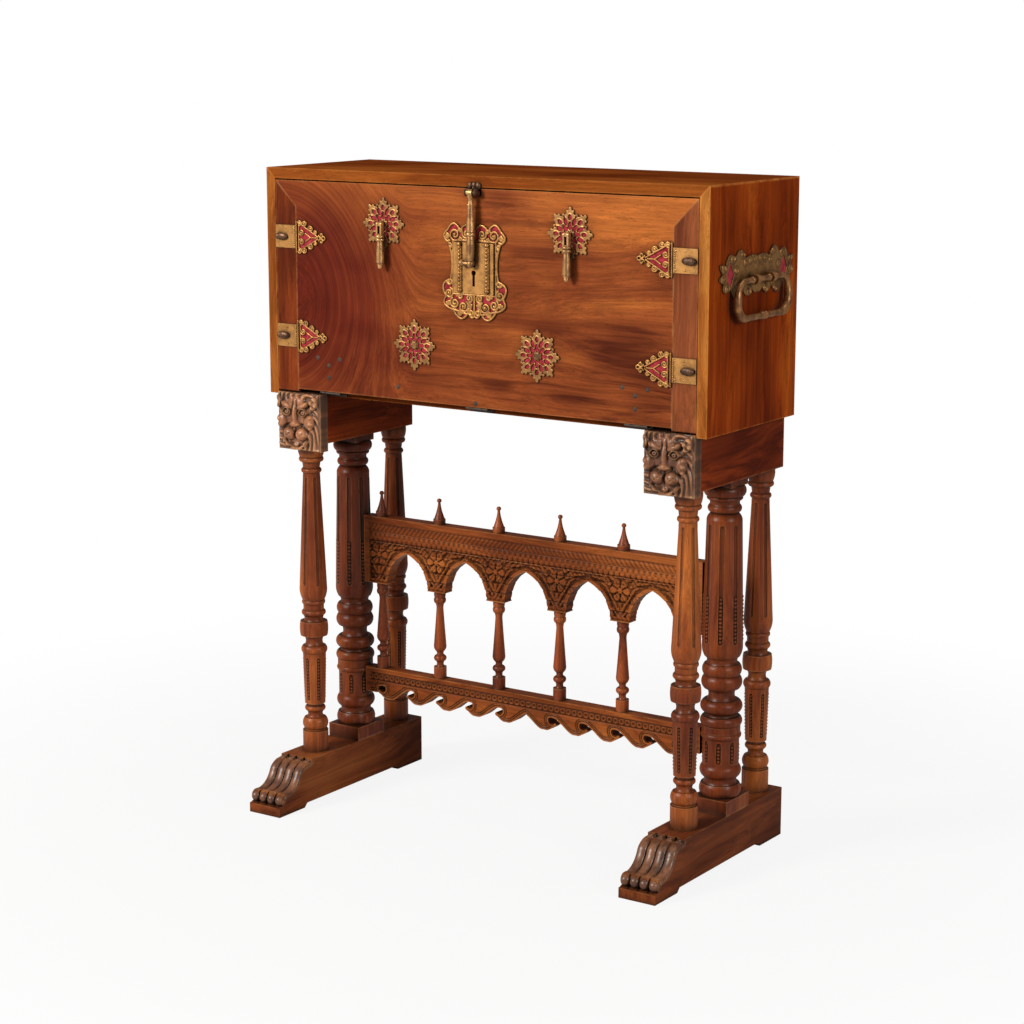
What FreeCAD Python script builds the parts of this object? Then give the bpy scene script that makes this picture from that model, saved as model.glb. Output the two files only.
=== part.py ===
import FreeCAD, Part
import Sketcher
import math
import os

# A vargueno on its turned stand: a Spanish fall-front writing cabinet, at real size.
# Millimetres, +Z up, +X to the cabinet's right as its user sees it, the front towards -Y.
# The origin is on the floor, in the middle of the feet.

# Driving sizes: each becomes one cell of the sheet, under its own name
SIZES = {
    # case
    "case_wide": 1000.0, "case_deep": 331.4, "case_tall": 446.5, "case_ahead": 120.8,
    "board_thick": 21.0, "back_thick": 12.0, "stand_rise": 839.6,
    # fall front and its gaps
    "fall_thick": 22.0, "fall_side_gap": 1.2, "fall_top_gap": 2.5, "stile_wide": 50.0,
    "stile_round": 3.0, "axis_inset": 5.0, "axis_rise": 10.2, "panel_lift": 2.9, "running_gap": 0.3,
    # hinges of the fall
    "hinge_reach": 351.0, "knuckle_radius": 2.6, "knuckle_long": 24.0, "pin_radius": 1.2,
    "pin_play": 0.05, "strap_thick": 1.8, "strap_wide": 30.0, "strap_tall": 76.0, "cross_wide": 72.0,
    "cross_tall": 15.0, "cross_rise": 61.0, "leaf_play": 1.0, "flange_drop": 8.0,
    "nail_shank": 1.6, "nail_head": 4.6, "nail_proud": 2.6, "nail_spread": 27.0,
    # lock and hasp
    "leaf_thin": 1.6, "velvet_thin": 1.0, "velvet_margin": 8.0, "scutcheon_wide": 143.0,
    "scutcheon_tall": 178.0, "scutcheon_rise": 268.4, "lock_wide": 92.0, "lock_tall": 95.0,
    "lock_thick": 2.4, "lock_rise": 275.4, "bead_bar_wide": 9.0, "bead_bar_tall": 82.0,
    "bead_bar_thick": 2.4, "bead_bar_reach": 31.0, "lock_edge_wide": 5.0, "keyhole_radius": 5.0,
    "keyhole_slot": 5.6, "keyhole_tall": 30.0, "keyhole_rise": 266.8, "window_radius": 6.0,
    "staple_rise": 285.4, "tongue_wide": 6.0, "tongue_tall": 8.0, "tongue_deep": 10.0, "eye_tall": 4.0,
    "eye_deep": 5.0, "eye_wall": 2.5, "slot_play": 1.5, "slot_drop": 3.5, "bolt_thin": 3.2,
    "lock_bolt_long": 20.0, "lock_bolt_travel": 9.0, "recess_tall": 16.0, "recess_spare": 5.0,
    "back_plate_thick": 2.4, "hasp_ahead": 15.0, "hasp_pivot_drop": 6.5, "hasp_eye_radius": 6.0,
    "hasp_pin_radius": 2.0, "hasp_eye_wide": 12.0, "cheek_thick": 8.0, "cheek_tall": 14.0,
    "crest_rise": 12.5, "crest_thick": 2.0, "hasp_girth": 18.8, "hasp_long": 136.0,
    "hasp_knob_radius": 6.5, "hasp_knob_reach": 20.0,
    "hasp_arm_radius": 3.0,
    # star mounts and their drop handles
    "star_wide": 103.0, "star_hollow": 76.0, "star_upper_reach": 211.6, "star_upper_rise": 348.9,
    "star_lower_reach": 140.4, "star_lower_rise": 121.4, "star_hole": 5.0, "star_hole_ring": 22.0,
    "star_boss": 8.0, "star_boss_proud": 3.0, "drop_ahead": 14.0, "drop_pin_radius": 2.0,
    "drop_pin_long": 14.0, "drop_post_wide": 5.0, "drop_post_tall": 7.0, "drop_arm_thick": 3.4,
    "drop_arm_wide": 8.0, "drop_arm_long": 22.0, "drop_girth": 17.0, "drop_long": 66.0,
    # bolts of the fall
    "bolt_upper_rise": 313.4, "bolt_lower_rise": 118.4, "bolt_plate_tall": 45.0, "bolt_plate_thick": 2.0,
    "bolt_tall": 12.0, "bolt_deep": 7.4, "bolt_long": 40.0, "bolt_inset": 3.6, "bolt_travel": 12.0,
    "bolt_play": 0.3, "finger_wide": 28.0, "finger_tall": 14.0, "finger_thick": 6.0, "finger_inset": 16.8,
    "neck_wide": 5.0, "mount_wide": 75.0, "mount_tall": 66.0, "mortise_spare": 1.0,
    # side handles
    "plate_long": 270.0, "plate_tall": 84.0, "plate_rise": 283.0, "bail_rise": 272.4, "bail_long": 190.0,
    "bail_drop": 67.0, "bail_radius": 6.0, "bail_bend": 28.0, "bail_ahead": 16.0, "post_wide": 9.0,
    "post_reach": 30.0, "post_round": 9.0, "post_play": 0.4, "handle_shift": 5.6,
    # inside the case
    "divider_thick": 9.0, "divider_ahead": 78.0, "centre_wide": 310.0, "drawer_gap": 0.8,
    "drawer_front_thick": 12.0, "drawer_side_thick": 7.0, "drawer_floor_thick": 5.0,
    "drawer_long": 258.0, "drawer_drop": 12.0, "knob_radius": 6.0, "knob_stem": 3.0, "knob_ahead": 13.0,
    "arch_wide": 150.0, "arch_tall": 150.0, "arch_relief": 4.0, "door_frame": 26.0,
    # stand: feet, beams and lopers
    "leg_reach": 437.7, "foot_long": 480.8, "foot_wide": 77.5, "foot_tall": 96.2, "foot_slope": 119.0,
    "foot_lobe_deep": 5.0, "foot_lobe_wide": 15.0, "foot_hollow": 8.5, "foot_toe_pad": 80.0,
    "foot_heel_pad": 86.0, "beam_wide": 77.0, "beam_tall": 102.1, "beam_ahead": 100.0,
    "beam_long": 316.8, "loper_wide": 40.0, "loper_tall": 46.0, "loper_low": 28.0, "loper_long": 294.0,
    "loper_end_gap": 6.0, "loper_play": 0.4, "head_wide": 106.1, "head_thick": 22.0, "head_tall": 115.2,
    "head_side_gap": 0.5, "head_relief": 15.0,
    # stand: columns
    "row_front": 73.5, "row_middle": 62.0, "row_rear": 201.3, "outer_girth": 58.0, "middle_girth": 80.0,
    "plinth_long": 85.0, "plinth_tall": 27.8, "abacus_wide": 62.0, "abacus_tall": 14.5,
    "outer_flute": 3.6, "middle_flute": 4.8,
    # stand: the arcaded stretcher
    "rail_thick": 28.0, "rail_top": 571.9, "rail_low": 432.2, "baluster_pitch": 145.5,
    "spandrel_wide": 42.0, "arch_rise": 71.0, "bottom_rail_top": 251.4, "bottom_rail_tall": 32.0,
    "wave_tall": 29.0, "rail_end_block": 30.0, "baluster_girth": 26.0, "finial_girth": 25.0,
    "finial_rise": 52.0, "cope_gap": 0.1,
    # one overrun for every cut
    "overrun": 2.0,
}

COUNTS = {
    "outer_flute_count": 6, "middle_flute_count": 8, "arch_count": 5, "wave_count": 10,
    "drawer_row_count": 3, "drawer_column_count": 2, "star_point_count": 8, "foot_lobe_count": 4,
}

# Turnings from the bottom up: width low, at the middle (None is straight) and high, as shares of the
# girth, then the height as a share of the whole
OUTER_SHARES = (
    (0.90, None, 0.90, 0.067), (0.80, None, 0.80, 0.005), (0.76, 0.90, 0.76, 0.037),
    (0.66, 0.52, 0.62, 0.022), (0.62, 0.73, 0.62, 0.017), (0.56, None, 0.56, 0.008),
    (0.72, None, 0.81, 0.165), (0.80, 0.92, 0.80, 0.025), (0.70, 0.59, 0.76, 0.033),
    (0.95, 1.00, 0.95, 0.047), (0.72, 0.66, 0.76, 0.020), (0.76, 0.85, 0.76, 0.016),
    (0.72, None, 0.72, 0.018), (0.73, 0.82, 0.73, 0.016), (0.78, 0.92, 0.97, 0.034),
    (0.97, None, 0.59, 0.374), (0.60, 0.71, 0.60, 0.016), (0.58, None, 0.64, 0.020),
    (0.76, 0.86, 0.76, 0.016), (0.80, 0.92, 0.88, 0.044),
)
MIDDLE_SHARES = (
    (0.92, 1.00, 0.92, 0.040), (0.82, 0.77, 0.82, 0.023), (0.86, 0.99, 0.86, 0.040),
    (0.87, None, 0.87, 0.087), (0.90, 0.97, 0.90, 0.017), (0.92, None, 0.92, 0.023),
    (0.90, 1.00, 0.90, 0.030), (0.78, 0.74, 0.80, 0.013), (0.84, 1.00, 0.84, 0.040),
    (0.70, 0.62, 0.72, 0.037), (0.84, 0.97, 0.84, 0.043), (0.84, 0.94, 0.84, 0.037),
    (0.76, 0.72, 0.82, 0.024), (0.84, 0.94, 0.97, 0.033), (0.97, None, 0.84, 0.406),
    (0.84, 0.78, 0.64, 0.021), (0.64, 0.80, 0.74, 0.024), (0.72, 0.70, 0.74, 0.016),
    (0.76, 0.85, 0.76, 0.014), (0.90, 1.00, 0.90, 0.032),
)
BALUSTER_SHARES = (
    (1.00, None, 1.00, 0.133), (0.70, 0.54, 0.70, 0.066), (0.72, 1.00, 0.72, 0.066),
    (0.58, 0.52, 0.60, 0.045), (0.62, 0.92, 1.00, 0.060), (1.00, 0.76, 0.54, 0.440),
    (0.54, 0.58, 0.70, 0.060), (0.80, 0.96, 0.80, 0.066), (0.86, 0.92, 0.86, 0.064),
)
FINIAL_SHARES = (
    (1.00, None, 1.00, 0.20), (0.88, None, 0.74, 0.10), (0.74, 0.38, 0.20, 0.55), (0.22, 0.38, 0.14, 0.15),
)
DROP_SHARES = (
    (0.40, 0.56, 0.50, 0.10), (0.66, 0.72, 0.70, 0.08), (0.92, None, 0.80, 0.42), (0.78, None, 0.66, 0.20),
    (0.96, 1.00, 0.96, 0.06), (0.70, None, 0.70, 0.03), (0.90, 1.00, 0.80, 0.08), (0.60, None, 0.60, 0.03),
)

HASP_SHARES = (
    (0.30, 0.74, 0.46, 0.096), (0.62, 0.80, 0.68, 0.338), (0.90, 1.00, 0.90, 0.044), (0.80, None, 0.80, 0.014),
    (0.88, None, 0.62, 0.350), (0.62, 0.74, 0.60, 0.030), (0.52, 0.44, 0.50, 0.078), (0.56, None, 0.62, 0.050),
)

# Where the flutes run on a column: from and to, as shares of its height
OUTER_FLUTE_SHARES = ((0.168, 0.308), (0.545, 0.892))
MIDDLE_FLUTE_SHARES = ((0.112, 0.182), (0.500, 0.880))
# How far a flute's middle line stands off the shaft, as a share of the flute's radius
FLUTE_LIFT_SHARE = 0.25

# The side of an arch bulges through this point, as shares of its half span and of its rise
ARCH_BELLY_SHARES = (0.724, 0.618)
# A foot's carved front: arc or line ends as shares of the slope's length and of the foot's height
FOOT_FRONT_SHARES = (
    ((0.03, 0.20),), ((0.10, 0.23),), ((0.06, 0.36), (0.20, 0.44)), ((0.40, 0.52), (0.54, 0.74)),
    ((0.64, 0.88), (0.86, 0.93)), ((0.86, 1.00),),
)
# One scallop of the bottom rail: the crest leans forward like a running wave
WAVE_SHARES = (((0.16, 0.40), (0.38, 0.82)), ((0.58, 1.00), (0.76, 0.80)), ((0.90, 0.42), (1.00, 0.00)))

# Lobed outlines, as shares of half the width and half the height: cusps and the bellies between them.
# Each goes from the top middle round the right side to the bottom middle
SCUTCHEON_SHARES = (
    (0.00, 0.90), ((0.22, 1.00), (0.44, 0.90)), ((0.66, 1.02), (0.86, 0.88)), ((1.00, 0.72), (0.84, 0.58)),
    ((0.74, 0.20), (0.78, -0.16)), ((1.02, -0.30), (0.94, -0.54)), ((0.98, -0.72), (0.70, -0.84)),
    ((0.44, -1.02), (0.20, -0.90)), ((0.10, -0.98), (0.00, -0.96)),
)
SIDE_PLATE_SHARES = (
    (0.00, 0.70), ((0.16, 0.78), (0.32, 0.66)), ((0.46, 1.06), (0.60, 0.74)), ((0.76, 0.90), (0.86, 0.46)),
    ((1.02, 0.50), (0.94, 0.10)), ((1.03, -0.10), (0.92, -0.30)), ((0.90, -0.66), (0.72, -0.60)),
    ((0.56, -1.04), (0.40, -0.66)), ((0.26, -0.96), (0.14, -0.70)), ((0.06, -0.86), (0.00, -0.84)),
)
# The pierced mount beside a bolt plate: from its straight edge round to its trefoil tip
MOUNT_SHARES = (
    (0.00, 0.86), ((0.12, 1.02), (0.22, 0.80)), ((0.42, 1.02), (0.56, 0.62)), ((0.66, 0.48), (0.70, 0.34)),
    ((0.86, 0.62), (0.88, 0.22)), ((1.00, 0.10), (1.00, 0.00)),
)
# A lion mask: places as shares of the head's half width and height, then the ball's radius as a
# share of the half width and how far it stands out as a share of the relief
MASK_SHARES = (
    (-0.42, 0.60, 0.36, 0.62), (0.42, 0.60, 0.36, 0.62), (-0.60, 0.14, 0.44, 0.60), (0.60, 0.14, 0.44, 0.60),
    (0.00, 0.24, 0.28, 0.86), (0.00, 0.02, 0.30, 1.00), (-0.34, -0.26, 0.40, 0.92), (0.34, -0.26, 0.40, 0.92),
    (0.00, -0.74, 0.34, 0.66), (-0.78, 0.78, 0.20, 0.50), (0.78, 0.78, 0.20, 0.50),
)
MOUTH_SHARES = (0.0, -0.54, 0.50, 0.12)
# The middle of a quarter round, half a turn in degrees, and how near two points count as one
SHEET_ROUND = math.sqrt(0.5)
HALF_TURN = 180.0
SAME_POINT = 1e-6

DOC = FreeCAD.newDocument("vargueno")
SHEET = DOC.addObject("Spreadsheet::Sheet", "Sizes")
NODES = {}


class Span:
    """A size: its value, and the formula that binds it to the sheet."""

    def __init__(self, value, formula):
        self.value = float(value)
        self.formula = formula

    def __float__(self):
        return self.value

    def __add__(self, other):
        return Span(self.value + float(other), "(%s + %s)" % (self.formula, formula(other)))

    def __sub__(self, other):
        return Span(self.value - float(other), "(%s - %s)" % (self.formula, formula(other)))

    def __mul__(self, other):
        return Span(self.value * float(other), "%s * %s" % (self.formula, formula(other)))

    def __truediv__(self, other):
        return Span(self.value / float(other), "%s / (%s)" % (self.formula, formula(other)))

    def __neg__(self):
        return Span(-self.value, "(0 - %s)" % self.formula)

    __radd__ = __add__
    __rmul__ = __mul__

    def __rsub__(self, other):
        return Span(float(other) - self.value, "(%s - %s)" % (formula(other), self.formula))


def formula(size):
    """The text of a size or a share in a formula."""
    if isinstance(size, Span):
        return size.formula
    return "(%.6f)" % size


def root(size):
    """The square root of a size."""
    return Span(math.sqrt(size.value), "sqrt(%s)" % size.formula)


class Sizes:
    """The sheet's cells by name."""


def fill_sheet():
    """Give each driving size its cell and alias, and read them back by name."""
    sizes = Sizes()
    for row, (name, value) in enumerate(list(SIZES.items()) + list(COUNTS.items()), start=1):
        SHEET.set("A%d" % row, name)
        SHEET.set("B%d" % row, str(value))
        SHEET.setAlias("B%d" % row, name)
        setattr(sizes, name, Span(value, "Sizes." + name))
    DOC.recompute()
    return sizes


S = fill_sheet()


def bind(piece, prop, size):
    """Bind one property of an object to a size."""
    piece.setExpression(prop, formula(size))


def place(piece, corner):
    """Bind an object's place to three sizes."""
    for axis, size in zip("xyz", corner):
        bind(piece, "Placement.Base." + axis, size)
    return piece


def block(name, corner, spans):
    """A box from its low corner and its three spans."""
    piece = DOC.addObject("Part::Box", name)
    for prop, size in zip(("Length", "Width", "Height"), spans):
        bind(piece, prop, size)
    return place(piece, corner)


TURNS = {
    "x": FreeCAD.Rotation(FreeCAD.Vector(0, 1, 0), 90),
    "y": FreeCAD.Rotation(FreeCAD.Vector(1, 0, 0), -90),
    "z": FreeCAD.Rotation(),
}


def rod(name, axis, start, radius, rise):
    """A cylinder that runs from its start towards plus axis."""
    piece = DOC.addObject("Part::Cylinder", name)
    piece.Placement = FreeCAD.Placement(FreeCAD.Vector(), TURNS[axis])
    bind(piece, "Radius", radius)
    bind(piece, "Height", rise)
    return place(piece, start)


def taper(name, axis, start, radii, rise):
    """A cone that runs from its start towards plus axis."""
    piece = DOC.addObject("Part::Cone", name)
    piece.Placement = FreeCAD.Placement(FreeCAD.Vector(), TURNS[axis])
    bind(piece, "Radius1", radii[0])
    bind(piece, "Radius2", radii[1])
    bind(piece, "Height", rise)
    return place(piece, start)


def ball(name, centre, radius):
    """A sphere."""
    piece = DOC.addObject("Part::Sphere", name)
    bind(piece, "Radius", radius)
    return place(piece, centre)


def join(name, pieces):
    """One solid from several that meet or overlap."""
    piece = DOC.addObject("Part::MultiFuse", name)
    piece.Shapes = pieces
    piece.Refine = True
    return piece


def group(name, pieces):
    """Separate solids that share a node."""
    piece = DOC.addObject("Part::Compound", name)
    piece.Links = pieces
    return piece


def cut(name, base, tools):
    """A solid less one or more tools."""
    piece = DOC.addObject("Part::Cut", name)
    piece.Base = base
    piece.Tool = tools[0] if len(tools) == 1 else group(name + "_tools", tools)
    return piece


def common(name, first, second):
    """What two solids share."""
    piece = DOC.addObject("Part::Common", name)
    piece.Base = first
    piece.Tool = second
    return piece


def keep(node, piece):
    """Name an object as the sub-part of that node."""
    piece.Label = node
    NODES[node] = piece
    return piece


def new_body(name, base):
    """An empty body at its place."""
    return place(DOC.addObject("PartDesign::Body", name), base)


def new_sketch(body, role, name):
    """A sketch on one of the body's own origin planes."""
    drawing = body.newObject("Sketcher::SketchObject", name)
    plane = [item for item in body.Origin.OriginFeatures if item.Role == role][0]
    drawing.AttachmentSupport = (plane, "")
    drawing.MapMode = "FlatFace"
    return drawing


def flat(point):
    """A sketch point's vector."""
    return FreeCAD.Vector(float(point[0]), float(point[1]), 0)


def ties(geometry, end, point):
    """The two distances that tie one point of a sketch, each with its size."""
    return [
        (Sketcher.Constraint(kind, -1, 1, geometry, end, float(size)), size)
        for kind, size in zip(("DistanceX", "DistanceY"), point)
    ]


def fasten(drawing, tied):
    """Add constraints at once, and bind those that have a size of their own."""
    indices = drawing.addConstraint([constraint for constraint, size in tied])
    for index, (constraint, size) in zip(indices, tied):
        if isinstance(size, Span):
            drawing.setExpression("Constraints[%d]" % index, size.formula)


def draw(drawing, start, steps):
    """A closed outline. A step of one point is a line to it, of two an arc through the first to the second."""
    corners = [start] + [step[-1] for step in steps]
    edges = []
    for index, step in enumerate(steps):
        here, there = corners[index], corners[index + 1]
        if len(step) == 2:
            edges.append(Part.Arc(flat(here), flat(step[0]), flat(there)))
        else:
            edges.append(Part.LineSegment(flat(here), flat(there)))
    if (flat(corners[-1]) - flat(start)).Length > SAME_POINT:
        edges.append(Part.LineSegment(flat(corners[-1]), flat(start)))
    else:
        corners = corners[:-1]
    numbers = drawing.addGeometry(edges, False)
    ends = []
    for number, corner in zip(numbers, corners):
        gap = (drawing.getPoint(number, 1) - flat(corner)).Length
        ends.append((1, 2) if gap < SAME_POINT else (2, 1))
    count = len(numbers)
    tied = []
    for index in range(count):
        after = (index + 1) % count
        joint = (numbers[index], ends[index][1], numbers[after], ends[after][0])
        tied.append((Sketcher.Constraint("Coincident", *joint), None))
        tied += ties(numbers[index], ends[index][0], corners[index])
    for number, step in zip(numbers, steps):
        if len(step) == 2:
            mark = drawing.addGeometry(Part.Point(flat(step[0])), True)
            tied += ties(mark, 1, step[0])
            tied.append((Sketcher.Constraint("PointOnObject", mark, 1, number), None))
    fasten(drawing, tied)
    return drawing


def draw_circle(drawing, centre, radius):
    """A circle whose centre and radius are bound."""
    shape = Part.Circle(flat(centre), FreeCAD.Vector(0, 0, 1), float(radius))
    circle = drawing.addGeometry(shape, False)
    tied = ties(circle, 3, centre)
    tied.append((Sketcher.Constraint("Radius", circle, float(radius)), radius))
    fasten(drawing, tied)
    return drawing


def pad(body, drawing, thick, name="pad"):
    """Pad a sketch to both sides alike."""
    feature = body.newObject("PartDesign::Pad", name)
    feature.Profile = drawing
    feature.SideType = "Symmetric"
    bind(feature, "Length", thick)
    return feature


def pocket(body, drawing, thick, name="pocket"):
    """Cut a sketch out to both sides alike."""
    feature = body.newObject("PartDesign::Pocket", name)
    feature.Profile = drawing
    feature.SideType = "Symmetric"
    bind(feature, "Length", thick)
    return feature


def turned(name, base, girth, rise, shares):
    """A turning about Z, from the table of its mouldings."""
    body = new_body(name, base)
    steps = []
    low_share = 0.0
    reached = None
    for low, belly, high, tall in shares:
        top_share = low_share + tall
        if low != reached:
            steps.append(((girth / 2 * low, rise * low_share),))
        reached = high
        far = (girth / 2 * high, rise * top_share)
        if belly is None:
            steps.append((far,))
        else:
            middle = (girth / 2 * belly, rise * (low_share + tall / 2))
            steps.append((middle, far))
        low_share = top_share
    steps.append(((0.0, rise * low_share),))
    drawing = draw(new_sketch(body, "XZ_Plane", name + "_profile"), (0.0, 0.0), steps)
    turning = body.newObject("PartDesign::Revolution", name + "_turning")
    turning.Profile = drawing
    turning.ReferenceAxis = (drawing, ["V_Axis"])
    turning.Angle = 360
    return body


def flute(body, profile, low, high, radius, count):
    """Cut one flute between two points of the shaft's surface, and repeat it round the column."""
    name = body.Name + "_flute_%d" % len(body.Group)
    drawing = new_sketch(body, "XZ_Plane", name)
    half_step = FreeCAD.Rotation(FreeCAD.Vector(0, 1, 0), HALF_TURN / float(count))
    drawing.AttachmentOffset = FreeCAD.Placement(FreeCAD.Vector(), half_step)
    run = (high[0] - low[0], high[1] - low[1])
    long = root(run[0] * run[0] + run[1] * run[1])
    ahead = (run[0] / long, run[1] / long)

    def spot(corner, along, out):
        reach = (radius * along, radius * out)
        return (
            corner[0] + ahead[0] * reach[0] + ahead[1] * reach[1],
            corner[1] + ahead[1] * reach[0] - ahead[0] * reach[1],
        )

    near = 1 - SHEET_ROUND
    steps = (
        (spot(low, near, SHEET_ROUND), spot(low, 1, 1)), (spot(high, -1, 1),),
        (spot(high, -near, SHEET_ROUND), high),
    )
    draw(drawing, low, steps)
    axis = drawing.addGeometry(Part.LineSegment(flat(low), flat(high)), True)
    fasten(drawing, ties(axis, 1, low) + ties(axis, 2, high))
    groove = body.newObject("PartDesign::Groove", name + "_groove")
    groove.Profile = drawing
    groove.ReferenceAxis = (drawing, ["Axis0"])
    groove.Angle = 360
    pattern = body.newObject("PartDesign::PolarPattern", name + "_round")
    pattern.Originals = [groove]
    pattern.Axis = (profile, ["V_Axis"])
    pattern.Angle = 360
    bind(pattern, "Occurrences", count)
    body.Tip = pattern
    return body


def mirrored_outline(half, wide, tall, middle):
    """A lobed outline from the shares of its right half, with the left half as its mirror image."""
    def point(share, side):
        return (wide / 2 * (share[0] * side), middle + tall / 2 * share[1])

    steps = [tuple(point(share, 1) for share in step) for step in half[1:]]
    cusps = [half[0]] + [step[-1] for step in half[1:]]
    for index in range(len(half) - 1, 0, -1):
        step = half[index]
        ends = [cusps[index - 1]]
        if len(step) == 2:
            ends = [step[0]] + ends
        steps.append(tuple(point(share, -1) for share in ends))
    return point(half[0], 1), steps


# Places that several sub-parts share
FRONT = -S.case_ahead
BACK = FRONT + S.case_deep
CASE_LOW = S.stand_rise
CASE_TOP = CASE_LOW + S.case_tall
INNER_HALF = S.case_wide / 2 - S.board_thick
INNER_TOP = CASE_TOP - S.board_thick
FALL_HALF = INNER_HALF - S.fall_side_gap
PANEL_HALF = FALL_HALF - S.stile_wide
FALL_BACK = FRONT + S.fall_thick
FALL_TOP = INNER_TOP - S.fall_top_gap
AXIS_Y = FRONT + S.axis_inset
AXIS_Z = CASE_LOW + S.axis_rise
BOTTOM_FRONT = FALL_BACK + S.strap_thick * 2 + S.leaf_play
LEAF_FRONT = FRONT - S.velvet_thin - S.leaf_thin
DIVIDER_FRONT = -S.divider_ahead
DIVIDER_BACK = BACK - S.back_thick
COLUMN_ROWS = {"front": -S.row_front, "middle": S.row_middle, "rear": S.row_rear}
BEAM_LOW = CASE_LOW - S.beam_tall
PLINTH_TOP = S.foot_tall + S.plinth_tall
MIDDLE_RISE = BEAM_LOW - S.abacus_tall - PLINTH_TOP
OUTER_RISE = BEAM_LOW - S.foot_tall
SIDES = {"left": -1, "right": 1}
BOLT_RISES = {"upper": CASE_LOW + S.bolt_upper_rise, "lower": CASE_LOW + S.bolt_lower_rise}
BOLT_FRONT = FRONT + S.bolt_inset
BOLT_BACK = BOLT_FRONT + S.bolt_deep


def beside(side, near, long):
    """Where a span starts on X that lies from near to near + long on one side of the middle."""
    return near if side > 0 else -(near + long)


def make_case():
    """Five boards: the top and the sides are mitred where they meet."""
    deep_middle = (FRONT + BACK) / 2
    half = S.case_wide / 2
    top = new_body("top_board", (0.0, deep_middle, 0.0))
    steps = (((half, CASE_TOP),), ((INNER_HALF, INNER_TOP),), ((-INNER_HALF, INNER_TOP),))
    draw(new_sketch(top, "XZ_Plane", "top_outline"), (-half, CASE_TOP), steps)
    pad(top, DOC.getObject("top_outline"), S.case_deep, "top_pad")
    keep("case_top", top)
    for hand, side in SIDES.items():
        board = new_body("side_board_" + hand, (0.0, deep_middle, 0.0))
        steps = (
            ((half * side, CASE_TOP),), ((INNER_HALF * side, INNER_TOP),), ((INNER_HALF * side, CASE_LOW),),
        )
        outline = new_sketch(board, "XZ_Plane", "side_outline_" + hand)
        pad(board, draw(outline, (half * side, CASE_LOW), steps), S.case_deep, "side_pad_" + hand)
        holes = [mortise(hand, side, level, rise) for level, rise in BOLT_RISES.items()]
        keep("case_side_" + hand, cut("side_with_mortises_" + hand, board, holes))
    wide = INNER_HALF * 2
    corner = (-INNER_HALF, BOTTOM_FRONT, CASE_LOW)
    keep("case_bottom", block("bottom_board", corner, (wide, BACK - BOTTOM_FRONT, S.board_thick)))
    inner_low = CASE_LOW + S.board_thick
    corner = (-INNER_HALF, BACK - S.back_thick, inner_low)
    keep("case_back", block("back_board", corner, (wide, S.back_thick, INNER_TOP - inner_low)))


def mortise(hand, side, level, rise):
    """The hole in a case side that a bolt of the fall enters."""
    deep = S.bolt_travel + S.mortise_spare - S.fall_side_gap
    start = beside(side, INNER_HALF - S.overrun, deep + S.overrun)
    tall = S.bolt_tall + S.bolt_play * 2
    corner = (start, BOLT_FRONT - S.bolt_play, rise - tall / 2)
    spans = (deep + S.overrun, S.bolt_deep + S.bolt_play * 2, tall)
    return block("mortise_%s_%s" % (hand, level), corner, spans)


def nail_places():
    """Where the clenched nails show on the front: four at each outer strap, one in the middle, one more."""
    places = []
    top = AXIS_Z + S.cross_rise + S.cross_tall / 2
    for side in SIDES.values():
        middle = S.hinge_reach * side
        places += [(middle - S.nail_spread, top), (middle + S.nail_spread, top)]
        places += [(middle, top - S.nail_spread / 2), (middle, top - S.nail_spread * 1.4)]
    places.append((0.0, AXIS_Z + S.strap_wide / 3))
    places.append((-S.star_upper_reach + S.strap_wide, AXIS_Z + S.nail_spread))
    return places


def make_fall():
    """The figured panel between two stiles, with their bolt channels, and the nails through it."""
    low = AXIS_Z + S.panel_lift
    middle = (FRONT + FALL_BACK) / 2
    panel = new_body("panel_board", (0.0, middle, 0.0))
    shoulder = FALL_TOP - S.stile_wide
    steps = (
        ((PANEL_HALF, low),), ((PANEL_HALF, shoulder),), ((FALL_HALF, FALL_TOP),), ((-FALL_HALF, FALL_TOP),),
        ((-PANEL_HALF, shoulder),),
    )
    outline = new_sketch(panel, "XZ_Plane", "panel_outline")
    pad(panel, draw(outline, (-PANEL_HALF, low), steps), S.fall_thick, "panel_pad")
    holes = []
    nails = []
    for index, (across, rise) in enumerate(nail_places()):
        start = (across, FRONT, rise)
        nails.append(join("nail_%d" % index, [
            rod("shank_%d" % index, "y", start, S.nail_shank, S.fall_thick),
            taper("rose_%d" % index, "y", (across, FRONT - S.nail_proud, rise),
                  (S.nail_shank, S.nail_head), S.nail_proud),
        ]))
        start = (across, FRONT - S.overrun, rise)
        holes.append(rod("nail_hole_%d" % index, "y", start, S.nail_shank, S.fall_thick + S.overrun * 2))
    recess_wide = S.lock_bolt_long + S.lock_bolt_travel + S.recess_spare * 2
    corner = (-(S.lock_bolt_travel + S.recess_spare), FRONT - S.overrun, staple_z() - S.recess_tall / 2)
    holes.append(block("lock_recess", corner, (recess_wide, S.fall_thick + S.overrun * 2, S.recess_tall)))
    holes += key_cutters("panel", FRONT - S.overrun, S.fall_thick + S.overrun * 2)
    keep("fall_panel", cut("panel_drilled", panel, holes))
    keep("fall_nails", group("nails", nails))
    for hand, side in SIDES.items():
        keep("fall_stile_" + hand, make_stile(hand, side, middle))


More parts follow.
